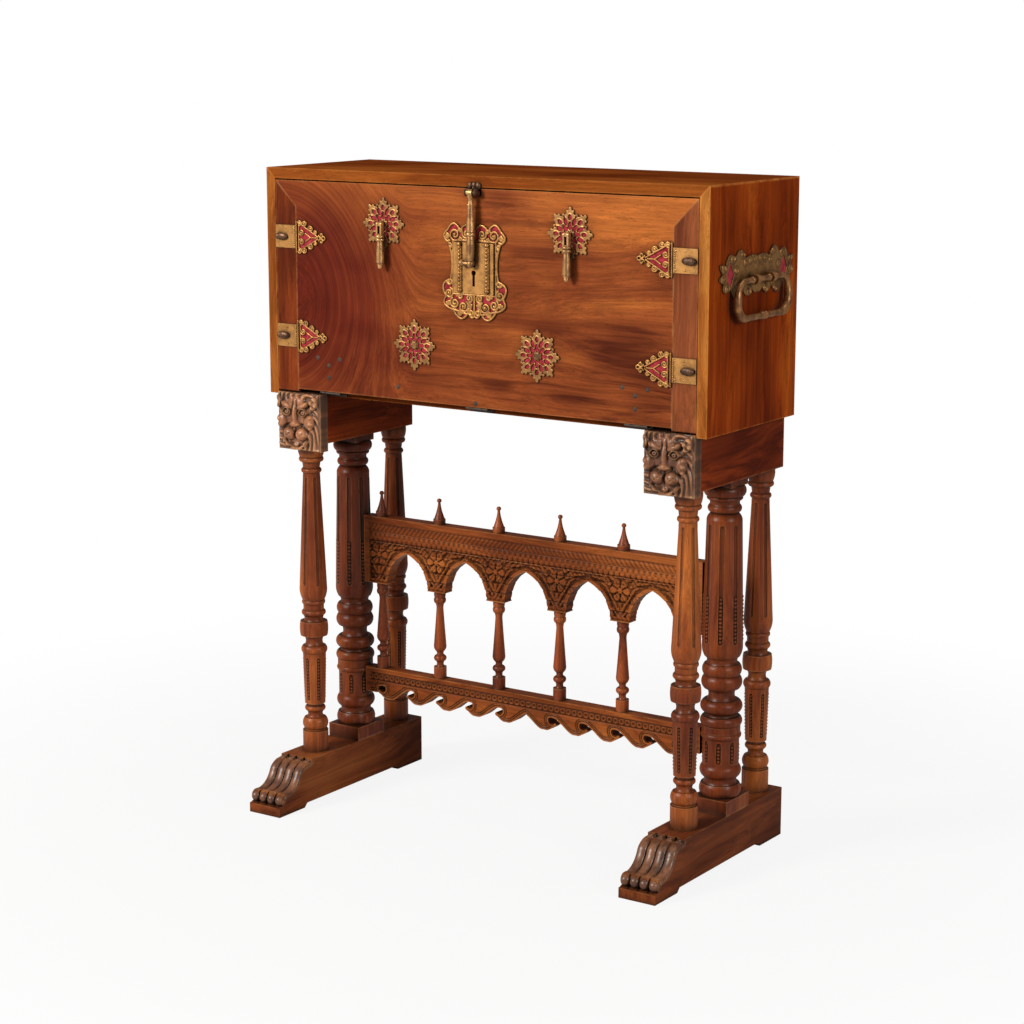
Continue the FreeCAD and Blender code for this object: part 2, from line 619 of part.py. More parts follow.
def make_stile(hand, side, middle):
    """One stile: its foot is rounded about the hinge axis, its top mitred, its two channels open outwards."""
    stile = new_body("stile_board_" + hand, ((PANEL_HALF + S.stile_wide / 2) * side, 0.0, 0.0))
    foot = AXIS_Z - S.stile_round
    round_y = FRONT + S.stile_round * (1 - SHEET_ROUND)
    round_z = AXIS_Z - S.stile_round * SHEET_ROUND
    steps = (
        ((FRONT, FALL_TOP),), ((FALL_BACK, FALL_TOP),), ((FALL_BACK, foot),),
        ((FRONT + S.stile_round, foot),), ((round_y, round_z), (FRONT, AXIS_Z)),
    )
    outline = new_sketch(stile, "YZ_Plane", "stile_outline_" + hand)
    pad(stile, draw(outline, (FRONT, AXIS_Z), steps), S.stile_wide, "stile_pad_" + hand)
    reach = S.stile_wide / 2
    mitre = new_sketch(stile, "XZ_Plane", "stile_mitre_" + hand)
    steps = (((reach * side, FALL_TOP),), ((-reach * side, FALL_TOP),))
    draw(mitre, (-reach * side, FALL_TOP - S.stile_wide), steps)
    pocket(stile, mitre, (S.case_ahead + S.overrun) * 2, "stile_mitre_cut_" + hand)
    channels = []
    for level, rise in BOLT_RISES.items():
        tall = S.bolt_tall + S.bolt_play * 2
        long = S.bolt_long + S.bolt_play + S.overrun
        corner = (
            beside(side, FALL_HALF - S.bolt_long - S.bolt_play, long), FRONT - S.overrun, rise - tall / 2,
        )
        spans = (long, S.overrun + S.bolt_inset + S.bolt_deep + S.bolt_play, tall)
        channels.append(block("channel_%s_%s" % (hand, level), corner, spans))
    return cut("stile_channelled_" + hand, stile, channels)


def make_hinges():
    """Three strap hinges: a strap inside the fall, a leaf on the bottom board and a pin each."""
    straps = []
    leaves = []
    pins = []
    for index, across in enumerate((-S.hinge_reach, 0.0, S.hinge_reach)):
        half = S.knuckle_long / 2
        web = S.knuckle_radius * 0.65
        corner = (across - half, AXIS_Y, AXIS_Z + S.knuckle_radius - web)
        deep = FALL_BACK + S.strap_thick - AXIS_Y
        tongue = block("strap_tongue_%d" % index, corner, (S.knuckle_long, deep, web))
        corner = (across - S.strap_wide / 2, FALL_BACK, AXIS_Z + S.knuckle_radius - web)
        plate = block("strap_plate_%d" % index, corner, (S.strap_wide, S.strap_thick, S.strap_tall))
        corner = (across - S.cross_wide / 2, FALL_BACK, AXIS_Z + S.cross_rise)
        cross = block("strap_cross_%d" % index, corner, (S.cross_wide, S.strap_thick, S.cross_tall))
        start = (across - half, AXIS_Y, AXIS_Z)
        barrel = rod("strap_barrel_%d" % index, "x", start, S.knuckle_radius, S.knuckle_long)
        solid = join("strap_joined_%d" % index, [barrel, tongue, plate, cross])
        start = (across - half - S.overrun, AXIS_Y, AXIS_Z)
        long = S.knuckle_long + S.overrun * 2
        bore = rod("strap_bore_%d" % index, "x", start, S.pin_radius + S.pin_play, long)
        straps.append(cut("strap_%d" % index, solid, [bore]))
        leaves.append(make_leaf(index, across, half, web))
        reach = half + S.running_gap + half
        pins.append(rod("pin_%d" % index, "x", (across - reach, AXIS_Y, AXIS_Z), S.pin_radius, reach * 2))
    keep("hinge_straps", group("straps", straps))
    keep("hinge_leaves", group("leaves", leaves))
    keep("hinge_pins", group("pins", pins))


def make_leaf(index, across, half, web):
    """The fixed leaf: a knuckle each side of the strap's, and a flange on the bottom board's front edge."""
    inner = half + S.running_gap
    outer = inner + half
    low = AXIS_Z - S.knuckle_radius
    deep = BOTTOM_FRONT - AXIS_Y
    pieces = []
    for name, start in (("west", -outer), ("east", inner)):
        corner = (across + start, AXIS_Y, low)
        pieces.append(block("leaf_arm_%s_%d" % (name, index), corner, (half, deep, web)))
        start = (across + start, AXIS_Y, AXIS_Z)
        pieces.append(rod("leaf_barrel_%s_%d" % (name, index), "x", start, S.knuckle_radius, half))
    corner = (across - outer, BOTTOM_FRONT - S.strap_thick, AXIS_Z - S.knuckle_radius + web - S.flange_drop)
    pieces.append(block("leaf_flange_%d" % index, corner, (outer * 2, S.strap_thick, S.flange_drop)))
    start = (across - outer - S.overrun, AXIS_Y, AXIS_Z)
    bore = rod("leaf_bore_%d" % index, "x", start, S.pin_radius, (outer + S.overrun) * 2)
    return cut("leaf_%d" % index, join("leaf_joined_%d" % index, pieces), [bore])


def staple_z():
    """The height at which the hasp's tongue enters the lock."""
    return CASE_LOW + S.staple_rise


def key_cutters(name, front, deep):
    """The keyhole: a round with a slot under it."""
    rise = CASE_LOW + S.keyhole_rise
    slot_low = rise - S.keyhole_tall + S.keyhole_radius
    corner = (-S.keyhole_slot / 2, front, slot_low)
    return [
        rod("keyhole_" + name, "y", (0.0, front, rise), S.keyhole_radius, deep),
        block("keyslot_" + name, corner, (S.keyhole_slot, deep, rise - slot_low)),
    ]


def tongue_cutter(name, front, deep):
    """The slot that the hasp's tongue swings into."""
    wide = S.tongue_wide + S.slot_play * 2
    low = staple_z() - S.tongue_tall / 2 - S.slot_drop
    corner = (-wide / 2, front, low)
    return block("tongue_slot_" + name, corner, (wide, deep, S.tongue_tall + S.slot_drop + S.slot_play))


def lobed_plate(name, role, base, half, wide, tall, thick):
    """A thin plate with a lobed outline, padded about the sketch's plane."""
    body = new_body(name, base)
    start, steps = mirrored_outline(half, wide, tall, 0.0)
    pad(body, draw(new_sketch(body, role, name + "_outline"), start, steps), thick, name + "_pad")
    return body


def make_lock():
    """Escutcheon, plate, back plate and sliding bolt of the lock, all about the tongue's slot and the keyhole."""
    plate_z = CASE_LOW + S.lock_rise
    middle_z = CASE_LOW + S.scutcheon_rise
    thick = S.leaf_thin
    base = (0.0, LEAF_FRONT + thick / 2, middle_z)
    leaf = lobed_plate("scutcheon_leaf", "XZ_Plane", base, SCUTCHEON_SHARES, S.scutcheon_wide,
                       S.scutcheon_tall, thick)
    front = LEAF_FRONT - S.overrun
    deep = thick + S.overrun * 2
    windows = []
    for side in SIDES.values():
        for across, rise in ((0.62, 0.70), (0.24, 0.76), (0.62, -0.56), (0.26, -0.68)):
            start = (S.scutcheon_wide / 2 * across * side, front, middle_z + S.scutcheon_tall / 2 * rise)
            windows.append(rod("window_%d" % len(DOC.Objects), "y", start, S.window_radius, deep))
    windows.append(tongue_cutter("leaf", front, deep))
    windows += key_cutters("leaf", front, deep)
    keep("lock_escutcheon", cut("scutcheon_pierced", leaf, windows))
    plate_front = LEAF_FRONT - S.lock_thick
    corner = (-S.lock_wide / 2, plate_front, plate_z - S.lock_tall / 2)
    pieces = [block("lock_sheet", corner, (S.lock_wide, S.lock_thick, S.lock_tall))]
    for side in SIDES.values():
        across = S.bead_bar_reach * side - S.bead_bar_wide / 2
        corner = (across, plate_front - S.bead_bar_thick, plate_z - S.bead_bar_tall / 2)
        spans = (S.bead_bar_wide, S.bead_bar_thick, S.bead_bar_tall)
        pieces.append(block("bead_bar_%d" % side, corner, spans))
    edge_x = S.lock_wide / 2 - S.lock_edge_wide
    corner = (edge_x, plate_front - S.bead_bar_thick, plate_z - S.lock_tall / 2)
    pieces.append(block("lock_edge", corner, (S.lock_edge_wide, S.bead_bar_thick, S.lock_tall)))
    front = plate_front - S.overrun
    deep = S.lock_thick + S.overrun * 2
    cutters = [tongue_cutter("sheet", front, deep)] + key_cutters("sheet", front, deep)
    keep("lock_plate", cut("lock_plate_cut", join("lock_plate_joined", pieces), cutters))
    corner = (-S.lock_wide / 2, FALL_BACK, plate_z - S.lock_tall / 2)
    back = block("lock_back_sheet", corner, (S.lock_wide, S.back_plate_thick, S.lock_tall))
    keep("lock_back_plate", back)
    clear = S.tongue_wide / 2 + S.slot_play
    rise = staple_z() - S.bolt_thin / 2
    corner = (clear, tongue_eye_front() + (S.eye_deep - S.bolt_thin) / 2, rise)
    keep("lock_bolt", block("lock_bolt_bar", corner, (S.lock_bolt_long, S.bolt_thin, S.bolt_thin)))


def tongue_eye_front():
    """The front of the eye through the hasp's tongue."""
    return FRONT + S.tongue_deep - S.eye_wall - S.eye_deep


def hasp_axis():
    """The hasp's hinge line: ahead of the fall, near its top."""
    return FRONT - S.hasp_ahead, FALL_TOP - S.hasp_pivot_drop


def make_hasp():
    """The staple on the fall's top edge and the hasp that hangs from it."""
    axis_y, axis_z = hasp_axis()
    half = S.hasp_eye_wide / 2 + S.running_gap
    outer = half + S.cheek_thick
    low = axis_z - S.cheek_tall / 2
    web_y = FRONT - S.running_gap
    foot_deep = S.crest_thick + S.running_gap
    pieces = [
        block("crest", (-outer, web_y - S.crest_thick, low),
              (outer * 2, S.crest_thick, FALL_TOP + S.crest_rise - low)),
        block("crest_foot", (-outer, FRONT - foot_deep, low), (outer * 2, foot_deep, FALL_TOP - low)),
    ]
    cheek_front = axis_y - S.hasp_eye_radius
    for name, start in (("west", -outer), ("east", half)):
        spans = (S.cheek_thick, FRONT - cheek_front - S.running_gap, S.cheek_tall)
        pieces.append(block("cheek_" + name, (start, cheek_front, low), spans))
    pieces.append(rod("hasp_pin", "x", (-outer, axis_y, axis_z), S.hasp_pin_radius, outer * 2))
    keep("hasp_staple", join("staple_joined", pieces))
    start = (-S.hasp_eye_wide / 2, axis_y, axis_z)
    eye = rod("hasp_eye", "x", start, S.hasp_eye_radius, S.hasp_eye_wide)
    base = (0.0, axis_y, axis_z - S.hasp_eye_radius / 2 - S.hasp_long)
    stem = turned("hasp_stem", base, S.hasp_girth, S.hasp_long, HASP_SHARES)
    knob_z = staple_z()
    arm = rod("hasp_arm", "x", (-S.hasp_knob_reach, axis_y, knob_z), S.hasp_arm_radius, S.hasp_knob_reach)
    knob = ball("hasp_knob", (-S.hasp_knob_reach, axis_y, knob_z), S.hasp_knob_radius)
    knob.Placement.Rotation = FreeCAD.Rotation(FreeCAD.Vector(0, 0, 1), 90)
    low = staple_z() - S.tongue_tall / 2
    spans = (S.tongue_wide, FRONT + S.tongue_deep - axis_y, S.tongue_tall)
    tongue = block("hasp_tongue", (-S.tongue_wide / 2, axis_y, low), spans)
    bore = rod("hasp_bore", "x", (-S.hasp_eye_wide, axis_y, axis_z), S.hasp_pin_radius + S.pin_play,
               S.hasp_eye_wide * 2)
    corner = (-S.tongue_wide, tongue_eye_front(), staple_z() - S.eye_tall / 2)
    eye_cut = block("tongue_eye", corner, (S.tongue_wide * 2, S.eye_deep, S.eye_tall))
    solid = join("hasp_joined", [eye, stem, arm, knob, tongue])
    keep("hasp", cut("hasp_bored", solid, [bore, eye_cut]))


def star_places():
    """The four stars: hand, whether a drop handle hangs on it, and where."""
    places = []
    for hand, side in SIDES.items():
        upper = (S.star_upper_reach * side, CASE_LOW + S.star_upper_rise)
        lower = (S.star_lower_reach * side, CASE_LOW + S.star_lower_rise)
        places += [(hand, True, upper), (hand, False, lower)]
    return places


def make_star(name, across, rise, boss):
    """An eight-pointed pierced mount."""
    body = new_body(name, (across, LEAF_FRONT + S.leaf_thin / 2, rise))
    points = []
    count = int(S.star_point_count.value)
    for index in range(count * 2):
        angle = math.pi * index / count
        wide = S.star_wide if index % 2 == 0 else S.star_hollow
        points.append((wide / 2 * math.sin(angle), wide / 2 * math.cos(angle)))
    outline = new_sketch(body, "XZ_Plane", name + "_outline")
    pad(body, draw(outline, points[0], [(point,) for point in points[1:]]), S.leaf_thin, name + "_pad")
    pierce = new_sketch(body, "XZ_Plane", name + "_piercing")
    draw_circle(pierce, (0.0, S.star_hole_ring), S.star_hole)
    hole = pocket(body, pierce, S.leaf_thin + S.overrun, name + "_hole")
    pattern = body.newObject("PartDesign::PolarPattern", name + "_round")
    pattern.Originals = [hole]
    pattern.Axis = (outline, ["N_Axis"])
    pattern.Angle = 360
    bind(pattern, "Occurrences", S.star_point_count)
    body.Tip = pattern
    if not boss:
        return body
    start = (across, LEAF_FRONT - S.star_boss_proud, rise)
    button = rod(name + "_boss", "y", start, S.star_boss, S.star_boss_proud + S.leaf_thin)
    return join(name + "_bossed", [body, button])


def make_stars():
    """Four stars; the upper two carry a drop handle on a staple."""
    stars = []
    staples = []
    for hand, drops, (across, rise) in star_places():
        name = "star_%s_%s" % ("upper" if drops else "lower", hand)
        stars.append(make_star(name, across, rise, not drops))
        if not drops:
            continue
        axis_y = FRONT - S.drop_ahead
        deep = LEAF_FRONT - axis_y + S.drop_post_tall / 2
        corner = (across - S.drop_post_wide / 2, LEAF_FRONT - deep, rise - S.drop_post_tall / 2)
        post = block("drop_post_" + hand, corner, (S.drop_post_wide, deep, S.drop_post_tall))
        start = (across - S.drop_pin_long / 2, axis_y, rise)
        pin = rod("drop_pin_" + hand, "x", start, S.drop_pin_radius, S.drop_pin_long)
        staples.append(join("drop_staple_" + hand, [post, pin]))
        keep("drop_handle_" + hand, make_drop(hand, across, axis_y, rise))
    keep("star_mounts", group("stars", stars))
    keep("drop_staples", group("staples", staples))


def make_drop(hand, across, axis_y, rise):
    """A drop handle: two arms on the pin, and a turned grip under them."""
    inner = S.drop_post_wide / 2 + S.running_gap
    half = S.drop_arm_wide / 2
    low = rise - S.drop_arm_long
    pieces = []
    for name, start in (("west", -(inner + S.drop_arm_thick)), ("east", inner)):
        spans = (S.drop_arm_thick, S.drop_arm_wide, S.drop_arm_long)
        corner = (across + start, axis_y - half, low)
        pieces.append(block("drop_arm_%s_%s" % (name, hand), corner, spans))
        hub = (across + start, axis_y, rise)
        pieces.append(rod("drop_hub_%s_%s" % (name, hand), "x", hub, half, S.drop_arm_thick))
    reach = inner + S.drop_arm_thick
    corner = (across - reach, axis_y - half, low)
    pieces.append(block("drop_bridge_" + hand, corner, (reach * 2, S.drop_arm_wide, S.drop_arm_thick)))
    base = (across, axis_y, low - S.drop_long + S.drop_arm_thick)
    pieces.append(turned("drop_grip_" + hand, base, S.drop_girth, S.drop_long, DROP_SHARES))
    bore_long = (reach + S.overrun) * 2
    start = (across - reach - S.overrun, axis_y, rise)
    bore = rod("drop_bore_" + hand, "x", start, S.drop_pin_radius + S.pin_play, bore_long)
    return cut("drop_bored_" + hand, join("drop_joined_" + hand, pieces), [bore])


def make_bolts():
    """Four bolts in the stiles, each under a plate beside a pierced mount."""
    plates = []
    for hand, side in SIDES.items():
        for level, rise in BOLT_RISES.items():
            name = "%s_%s" % (level, hand)
            finger_x = FALL_HALF - S.finger_inset
            corner = (
                beside(side, PANEL_HALF, S.stile_wide), FRONT - S.bolt_plate_thick,
                rise - S.bolt_plate_tall / 2,
            )
            spans = (S.stile_wide, S.bolt_plate_thick, S.bolt_plate_tall)
            sheet = block("bolt_sheet_" + name, corner, spans)
            near = finger_x - S.neck_wide / 2 - S.bolt_play
            long = S.neck_wide + S.bolt_travel + S.bolt_play * 2
            tall = S.neck_wide + S.bolt_play * 2
            corner = (beside(side, near, long), FRONT - S.bolt_plate_thick - S.overrun, rise - tall / 2)
            slot = block("neck_slot_" + name, corner, (long, S.bolt_plate_thick + S.overrun * 2, tall))
            plates.append(cut("bolt_plate_" + name, sheet, [slot]))
            plates.append(make_mount(name, side, rise))
            keep("bolt_" + name, make_bolt(name, side, rise, finger_x))
    keep("bolt_plates", group("all_bolt_plates", plates))


def make_bolt(name, side, rise, finger_x):
    """A flat bar, its neck through the plate's slot and the finger piece on it."""
    near = FALL_HALF - S.bolt_long
    corner = (beside(side, near, S.bolt_long), BOLT_FRONT, rise - S.bolt_tall / 2)
    bar = block("bolt_bar_" + name, corner, (S.bolt_long, S.bolt_deep, S.bolt_tall))
    back = FRONT - S.bolt_plate_thick - S.running_gap
    near = finger_x - S.neck_wide / 2
    corner = (beside(side, near, S.neck_wide), back, rise - S.neck_wide / 2)
    neck = block("bolt_neck_" + name, corner, (S.neck_wide, BOLT_FRONT - back, S.neck_wide))
    near = finger_x - S.finger_wide / 2
    corner = (beside(side, near, S.finger_wide), back - S.finger_thick, rise - S.finger_tall / 2)
    finger = block("bolt_finger_" + name, corner, (S.finger_wide, S.finger_thick, S.finger_tall))
    return join("bolt_joined_" + name, [bar, neck, finger])


def make_mount(name, side, rise):
    """The pierced mount on the panel, its trefoil towards the middle."""
    body = new_body("mount_" + name, (PANEL_HALF * side, LEAF_FRONT + S.leaf_thin / 2, rise))

    def point(share, sign):
        return (S.mount_wide * (-share[0] * side), S.mount_tall / 2 * (share[1] * sign))

    steps = [tuple(point(share, 1) for share in step) for step in MOUNT_SHARES[1:]]
    cusps = [MOUNT_SHARES[0]] + [step[-1] for step in MOUNT_SHARES[1:]]
    for index in range(len(MOUNT_SHARES) - 1, 0, -1):
        step = MOUNT_SHARES[index]
        steps.append((point(step[0], -1), point(cusps[index - 1], -1)))
    outline = new_sketch(body, "XZ_Plane", "mount_outline_" + name)
    pad(body, draw(outline, point(MOUNT_SHARES[0], 1), steps), S.leaf_thin, "mount_pad_" + name)
    start = ((PANEL_HALF - S.mount_wide / 3) * side, LEAF_FRONT - S.overrun, rise)
    window = rod("mount_window_" + name, "y", start, S.window_radius * 1.5, S.leaf_thin + S.overrun * 2)
    return cut("mount_pierced_" + name, body, [window])


def make_velvet():
    """The velvet behind the pierced mounts of the fall."""
    pieces = []
    back = FRONT - S.velvet_thin
    for hand, drops, (across, rise) in star_places():
        name = "star_velvet_%d" % len(pieces)
        radius = S.star_hollow / 2 - S.velvet_margin / 2
        pieces.append(rod(name, "y", (across, back, rise), radius, S.velvet_thin))
    for side in SIDES.values():
        for rise in BOLT_RISES.values():
            name = "mount_velvet_%d" % len(pieces)
            start = ((PANEL_HALF - S.mount_wide / 3) * side, back, rise)
            pieces.append(rod(name, "y", start, S.mount_wide / 3 - S.running_gap, S.velvet_thin))
    wide = S.scutcheon_wide * 0.78 - S.velvet_margin
    tall = S.scutcheon_tall * 0.92 - S.velvet_margin
    middle_z = CASE_LOW + S.scutcheon_rise
    sheet = block("scutcheon_velvet", (-wide / 2, back, middle_z - tall / 2), (wide, S.velvet_thin, tall))
    front = back - S.overrun
    deep = S.velvet_thin + S.overrun * 2
    holes = [tongue_cutter("velvet", front, deep)] + key_cutters("velvet", front, deep)
    pieces.append(cut("scutcheon_velvet_cut", sheet, holes))
    keep("mount_velvet", group("velvets", pieces))


def make_side_handles():
    """On each side a pierced plate over velvet, two posts and a bail that hangs in them."""
    middle_y = (FRONT + BACK) / 2 + S.handle_shift
    plate_z = CASE_LOW + S.plate_rise
    posts = []
    velvets = []
    for hand, side in SIDES.items():
        face = S.case_wide / 2
        leaf_near = face + S.velvet_thin
        base = ((leaf_near + S.leaf_thin / 2) * side, middle_y, plate_z)
        leaf = lobed_plate("side_leaf_" + hand, "YZ_Plane", base, SIDE_PLATE_SHARES, S.plate_long,
                           S.plate_tall, S.leaf_thin)
        windows = []
        long = S.leaf_thin + S.overrun * 2
        for end in (-1, 1):
            start = (
                beside(side, leaf_near - S.overrun, long), middle_y + S.plate_long / 2 * (0.74 * end), plate_z,
            )
            windows.append(rod("side_window_%s_%d" % (hand, end), "x", start, S.window_radius * 2, long))
        keep("handle_plate_" + hand, cut("side_leaf_pierced_" + hand, leaf, windows))
        start = beside(side, face, S.velvet_thin)
        corner = (start, middle_y - S.plate_long / 2 * 0.88, plate_z - S.plate_tall / 2 * 0.5)
        spans = (S.velvet_thin, S.plate_long * 0.88, S.plate_tall / 2 * 0.9)
        velvets.append(block("side_velvet_" + hand, corner, spans))
        for end in (-1, 1):
            posts.append(make_post("%s_%d" % (hand, end), side, middle_y + S.post_reach * end))
        keep("bail_" + hand, make_bail(hand, side, middle_y))
    keep("bail_posts", group("posts", posts))
    keep("side_velvet", group("side_velvets", velvets))


def make_post(name, side, across):
    """A post with an eye for the bail."""
    rise = CASE_LOW + S.bail_rise
    near = S.case_wide / 2 + S.velvet_thin + S.leaf_thin
    long = S.case_wide / 2 + S.bail_ahead - near
    corner = (beside(side, near, long), across - S.post_wide / 2, rise - S.post_round)
    neck = block("post_neck_" + name, corner, (long, S.post_wide, S.post_round * 2))
    centre = ((S.case_wide / 2 + S.bail_ahead) * side, across - S.post_wide / 2, rise)
    head = rod("post_head_" + name, "y", centre, S.post_round, S.post_wide)
    start = (centre[0], across - S.post_wide, rise)
    bore = rod("post_bore_" + name, "y", start, S.bail_radius + S.post_play, S.post_wide * 2)
    return cut("post_" + name, join("post_joined_" + name, [neck, head]), [bore])


def make_bail(hand, side, middle_y):
    """A closed loop of round bar: its top run lies in the eyes of the posts."""
    base = ((S.case_wide / 2 + S.bail_ahead) * side, middle_y, CASE_LOW + S.bail_rise)
    body = new_body("bail_loop_" + hand, base)
    half = S.bail_long / 2
    bend = S.bail_bend
    drop = S.bail_drop
    slack = bend * (1 - SHEET_ROUND)
    path = new_sketch(body, "YZ_Plane", "bail_path_" + hand)
    steps = (
        ((half - bend, 0.0),), ((half - slack, -slack), (half, -bend)), ((half, bend - drop),),
        ((half - slack, slack - drop), (half - bend, -drop)), ((bend - half, -drop),),
        ((slack - half, slack - drop), (-half, bend - drop)), ((-half, -bend),),
        ((slack - half, -slack), (bend - half, 0.0)),
    )
    draw(path, (0.0, 0.0), steps)
    section = new_sketch(body, "XZ_Plane", "bail_section_" + hand)
    draw_circle(section, (0.0, 0.0), S.bail_radius)
    pipe = body.newObject("PartDesign::AdditivePipe", "bail_pipe_" + hand)
    pipe.Profile = section
    pipe.Spine = path
    return body


def inner_grid():
    """The drawer columns and rows: where each starts, and how large one is."""
    columns = int(S.drawer_column_count.value)
    rows = int(S.drawer_row_count.value)
    bank = INNER_HALF - S.centre_wide / 2
    wide = (bank - S.divider_thick * columns) / columns
    low = CASE_LOW + S.board_thick
    tall = (INNER_TOP - low - S.divider_thick * (rows - 1)) / rows
    starts = [S.centre_wide / 2 + S.divider_thick + (wide + S.divider_thick) * index for index in range(columns)]
    rises = [low + (tall + S.divider_thick) * index for index in range(rows)]
    return starts, wide, rises, tall


def make_drawer(name, start, rise, wide, tall):
    """An open box of five boards behind its front."""
    gap = S.drawer_gap
    start = start + gap
    rise = rise + gap
    wide = wide - gap * 2
    tall = tall - gap * 2
    front = DIVIDER_FRONT
    inner = front + S.drawer_front_thick
    long = S.drawer_long - S.drawer_front_thick
    side = S.drawer_side_thick
    box_tall = tall - S.drawer_drop
    floor_long = long - side
    clear = wide - side * 2
    walls = [
        ("front", (start, front, rise), (wide, S.drawer_front_thick, tall)),
        ("west", (start, inner, rise), (side, long, box_tall)),
        ("east", (start + wide - side, inner, rise), (side, long, box_tall)),
        ("back", (start + side, inner + floor_long, rise), (clear, side, box_tall)),
        ("floor", (start + side, inner, rise), (clear, floor_long, S.drawer_floor_thick)),
    ]
    return [block("%s_%s" % (name, wall), corner, spans) for wall, corner, spans in walls]


def make_knob(name, across, rise):
    """A small turned knob on a drawer front."""
    tip = DIVIDER_FRONT - S.knob_ahead + S.knob_radius
    stem = rod(name + "_stem", "y", (across, tip, rise), S.knob_stem, DIVIDER_FRONT - tip)
    return join(name, [stem, ball(name + "_ball", (across, tip, rise), S.knob_radius)])


def make_inside():
    """Dividers, drawers, knobs and the cupboard door."""
    starts, wide, rises, tall = inner_grid()
    deep = DIVIDER_BACK - DIVIDER_FRONT
    thick = S.divider_thick
    low = rises[0]
    dividers = []
    knobs = []
    for hand, side in SIDES.items():
        bank = []
        for column, start in enumerate(starts):
            name = "%s_%d" % (hand, column)
            corner = (beside(side, start - thick, thick), DIVIDER_FRONT, low)
            dividers.append(block("upright_" + name, corner, (thick, deep, INNER_TOP - low)))
            west = beside(side, start, wide)
            for row, rise in enumerate(rises):
                label = "%s_%d" % (name, row)
                if row:
                    corner = (west, DIVIDER_FRONT, rise - thick)
                    dividers.append(block("shelf_" + label, corner, (wide, deep, thick)))
                bank += make_drawer("drawer_" + label, west, rise, wide, tall)
                knobs.append(make_knob("knob_" + label, west + wide / 2, rise + tall / 2))
        keep("drawers_%s_bank" % hand, group("bank_" + hand, bank))
    half = S.centre_wide / 2
    for row, rise in enumerate(rises[1:]):
        corner = (-half, DIVIDER_FRONT, rise - thick)
        dividers.append(block("centre_shelf_%d" % row, corner, (half * 2, deep, thick)))
    centre = []
    for row in (0, len(rises) - 1):
        centre += make_drawer("centre_drawer_%d" % row, -half, rises[row], half * 2, tall)
        knobs.append(make_knob("centre_knob_%d" % row, 0.0, rises[row] + tall / 2))
    keep("drawer_partitions", group("dividers", dividers))
    keep("centre_drawers", group("centre_bank", centre))
    keep("cupboard_door", make_door(-half, rises[1], half * 2, tall))
    knobs.append(make_knob("door_knob", half - S.door_frame, rises[1] + tall / 2))
    keep("drawer_knobs", group("knobs", knobs))


def make_door(start, rise, wide, tall):
    """The cupboard door: a board with a sunk round-headed niche."""
    gap = S.drawer_gap
    corner = (start + gap, DIVIDER_FRONT, rise + gap)
    board = block("door_board", corner, (wide - gap * 2, S.drawer_front_thick, tall - gap * 2))
    radius = tall / 2 - S.door_frame
    front = DIVIDER_FRONT - S.overrun
    deep = S.arch_relief + S.overrun
    low = rise + S.door_frame / 2
    spring = rise + tall - S.door_frame / 2 - radius
    niche = join("door_niche", [
        block("niche_box", (-radius, front, low), (radius * 2, deep, spring - low)),
        rod("niche_round", "y", (0.0, front, spring), radius, deep),
    ])
    return cut("door_carved", board, [niche])


def make_columns():
    """Three columns on each foot: two slender ones and a stout one between them."""
    blocks = []
    for hand, side in SIDES.items():
        across = S.leg_reach * side
        for row, depth in COLUMN_ROWS.items():
            name = "column_%s_%s" % (row, hand)
            stout = row == "middle"
            girth = S.middle_girth if stout else S.outer_girth
            rise = MIDDLE_RISE if stout else OUTER_RISE
            table = MIDDLE_SHARES if stout else OUTER_SHARES
            low = PLINTH_TOP if stout else S.foot_tall
            body = turned(name, (across, depth, low), girth, rise, table)
            profile = DOC.getObject(name + "_profile")
            radius = S.middle_flute if stout else S.outer_flute
            count = S.middle_flute_count if stout else S.outer_flute_count
            for start, end in MIDDLE_FLUTE_SHARES if stout else OUTER_FLUTE_SHARES:
                lift = radius * FLUTE_LIFT_SHARE
                ends = [(girth / 2 * surface_share(table, share) + lift, rise * share) for share in (start, end)]
                flute(body, profile, ends[0], ends[1], radius, count)
            keep(name, body)
        middle = COLUMN_ROWS["middle"]
        corner = (across - S.foot_wide / 2, middle - S.plinth_long / 2, S.foot_tall)
        blocks.append(block("plinth_" + hand, corner, (S.foot_wide, S.plinth_long, S.plinth_tall)))
        corner = (across - S.abacus_wide / 2, middle - S.abacus_wide / 2, BEAM_LOW - S.abacus_tall)
        blocks.append(block("abacus_" + hand, corner, (S.abacus_wide, S.abacus_wide, S.abacus_tall)))
    keep("column_blocks", group("plinths_and_abacuses", blocks))


def surface_share(table, share):
    """How wide a turning is at a share of its height, along the straight of that moulding."""
    low_share = 0.0
    for low, belly, high, tall in table:
        if share <= low_share + tall:
            return low + (high - low) * (share - low_share) / tall
        low_share += tall
    return table[-1][2]


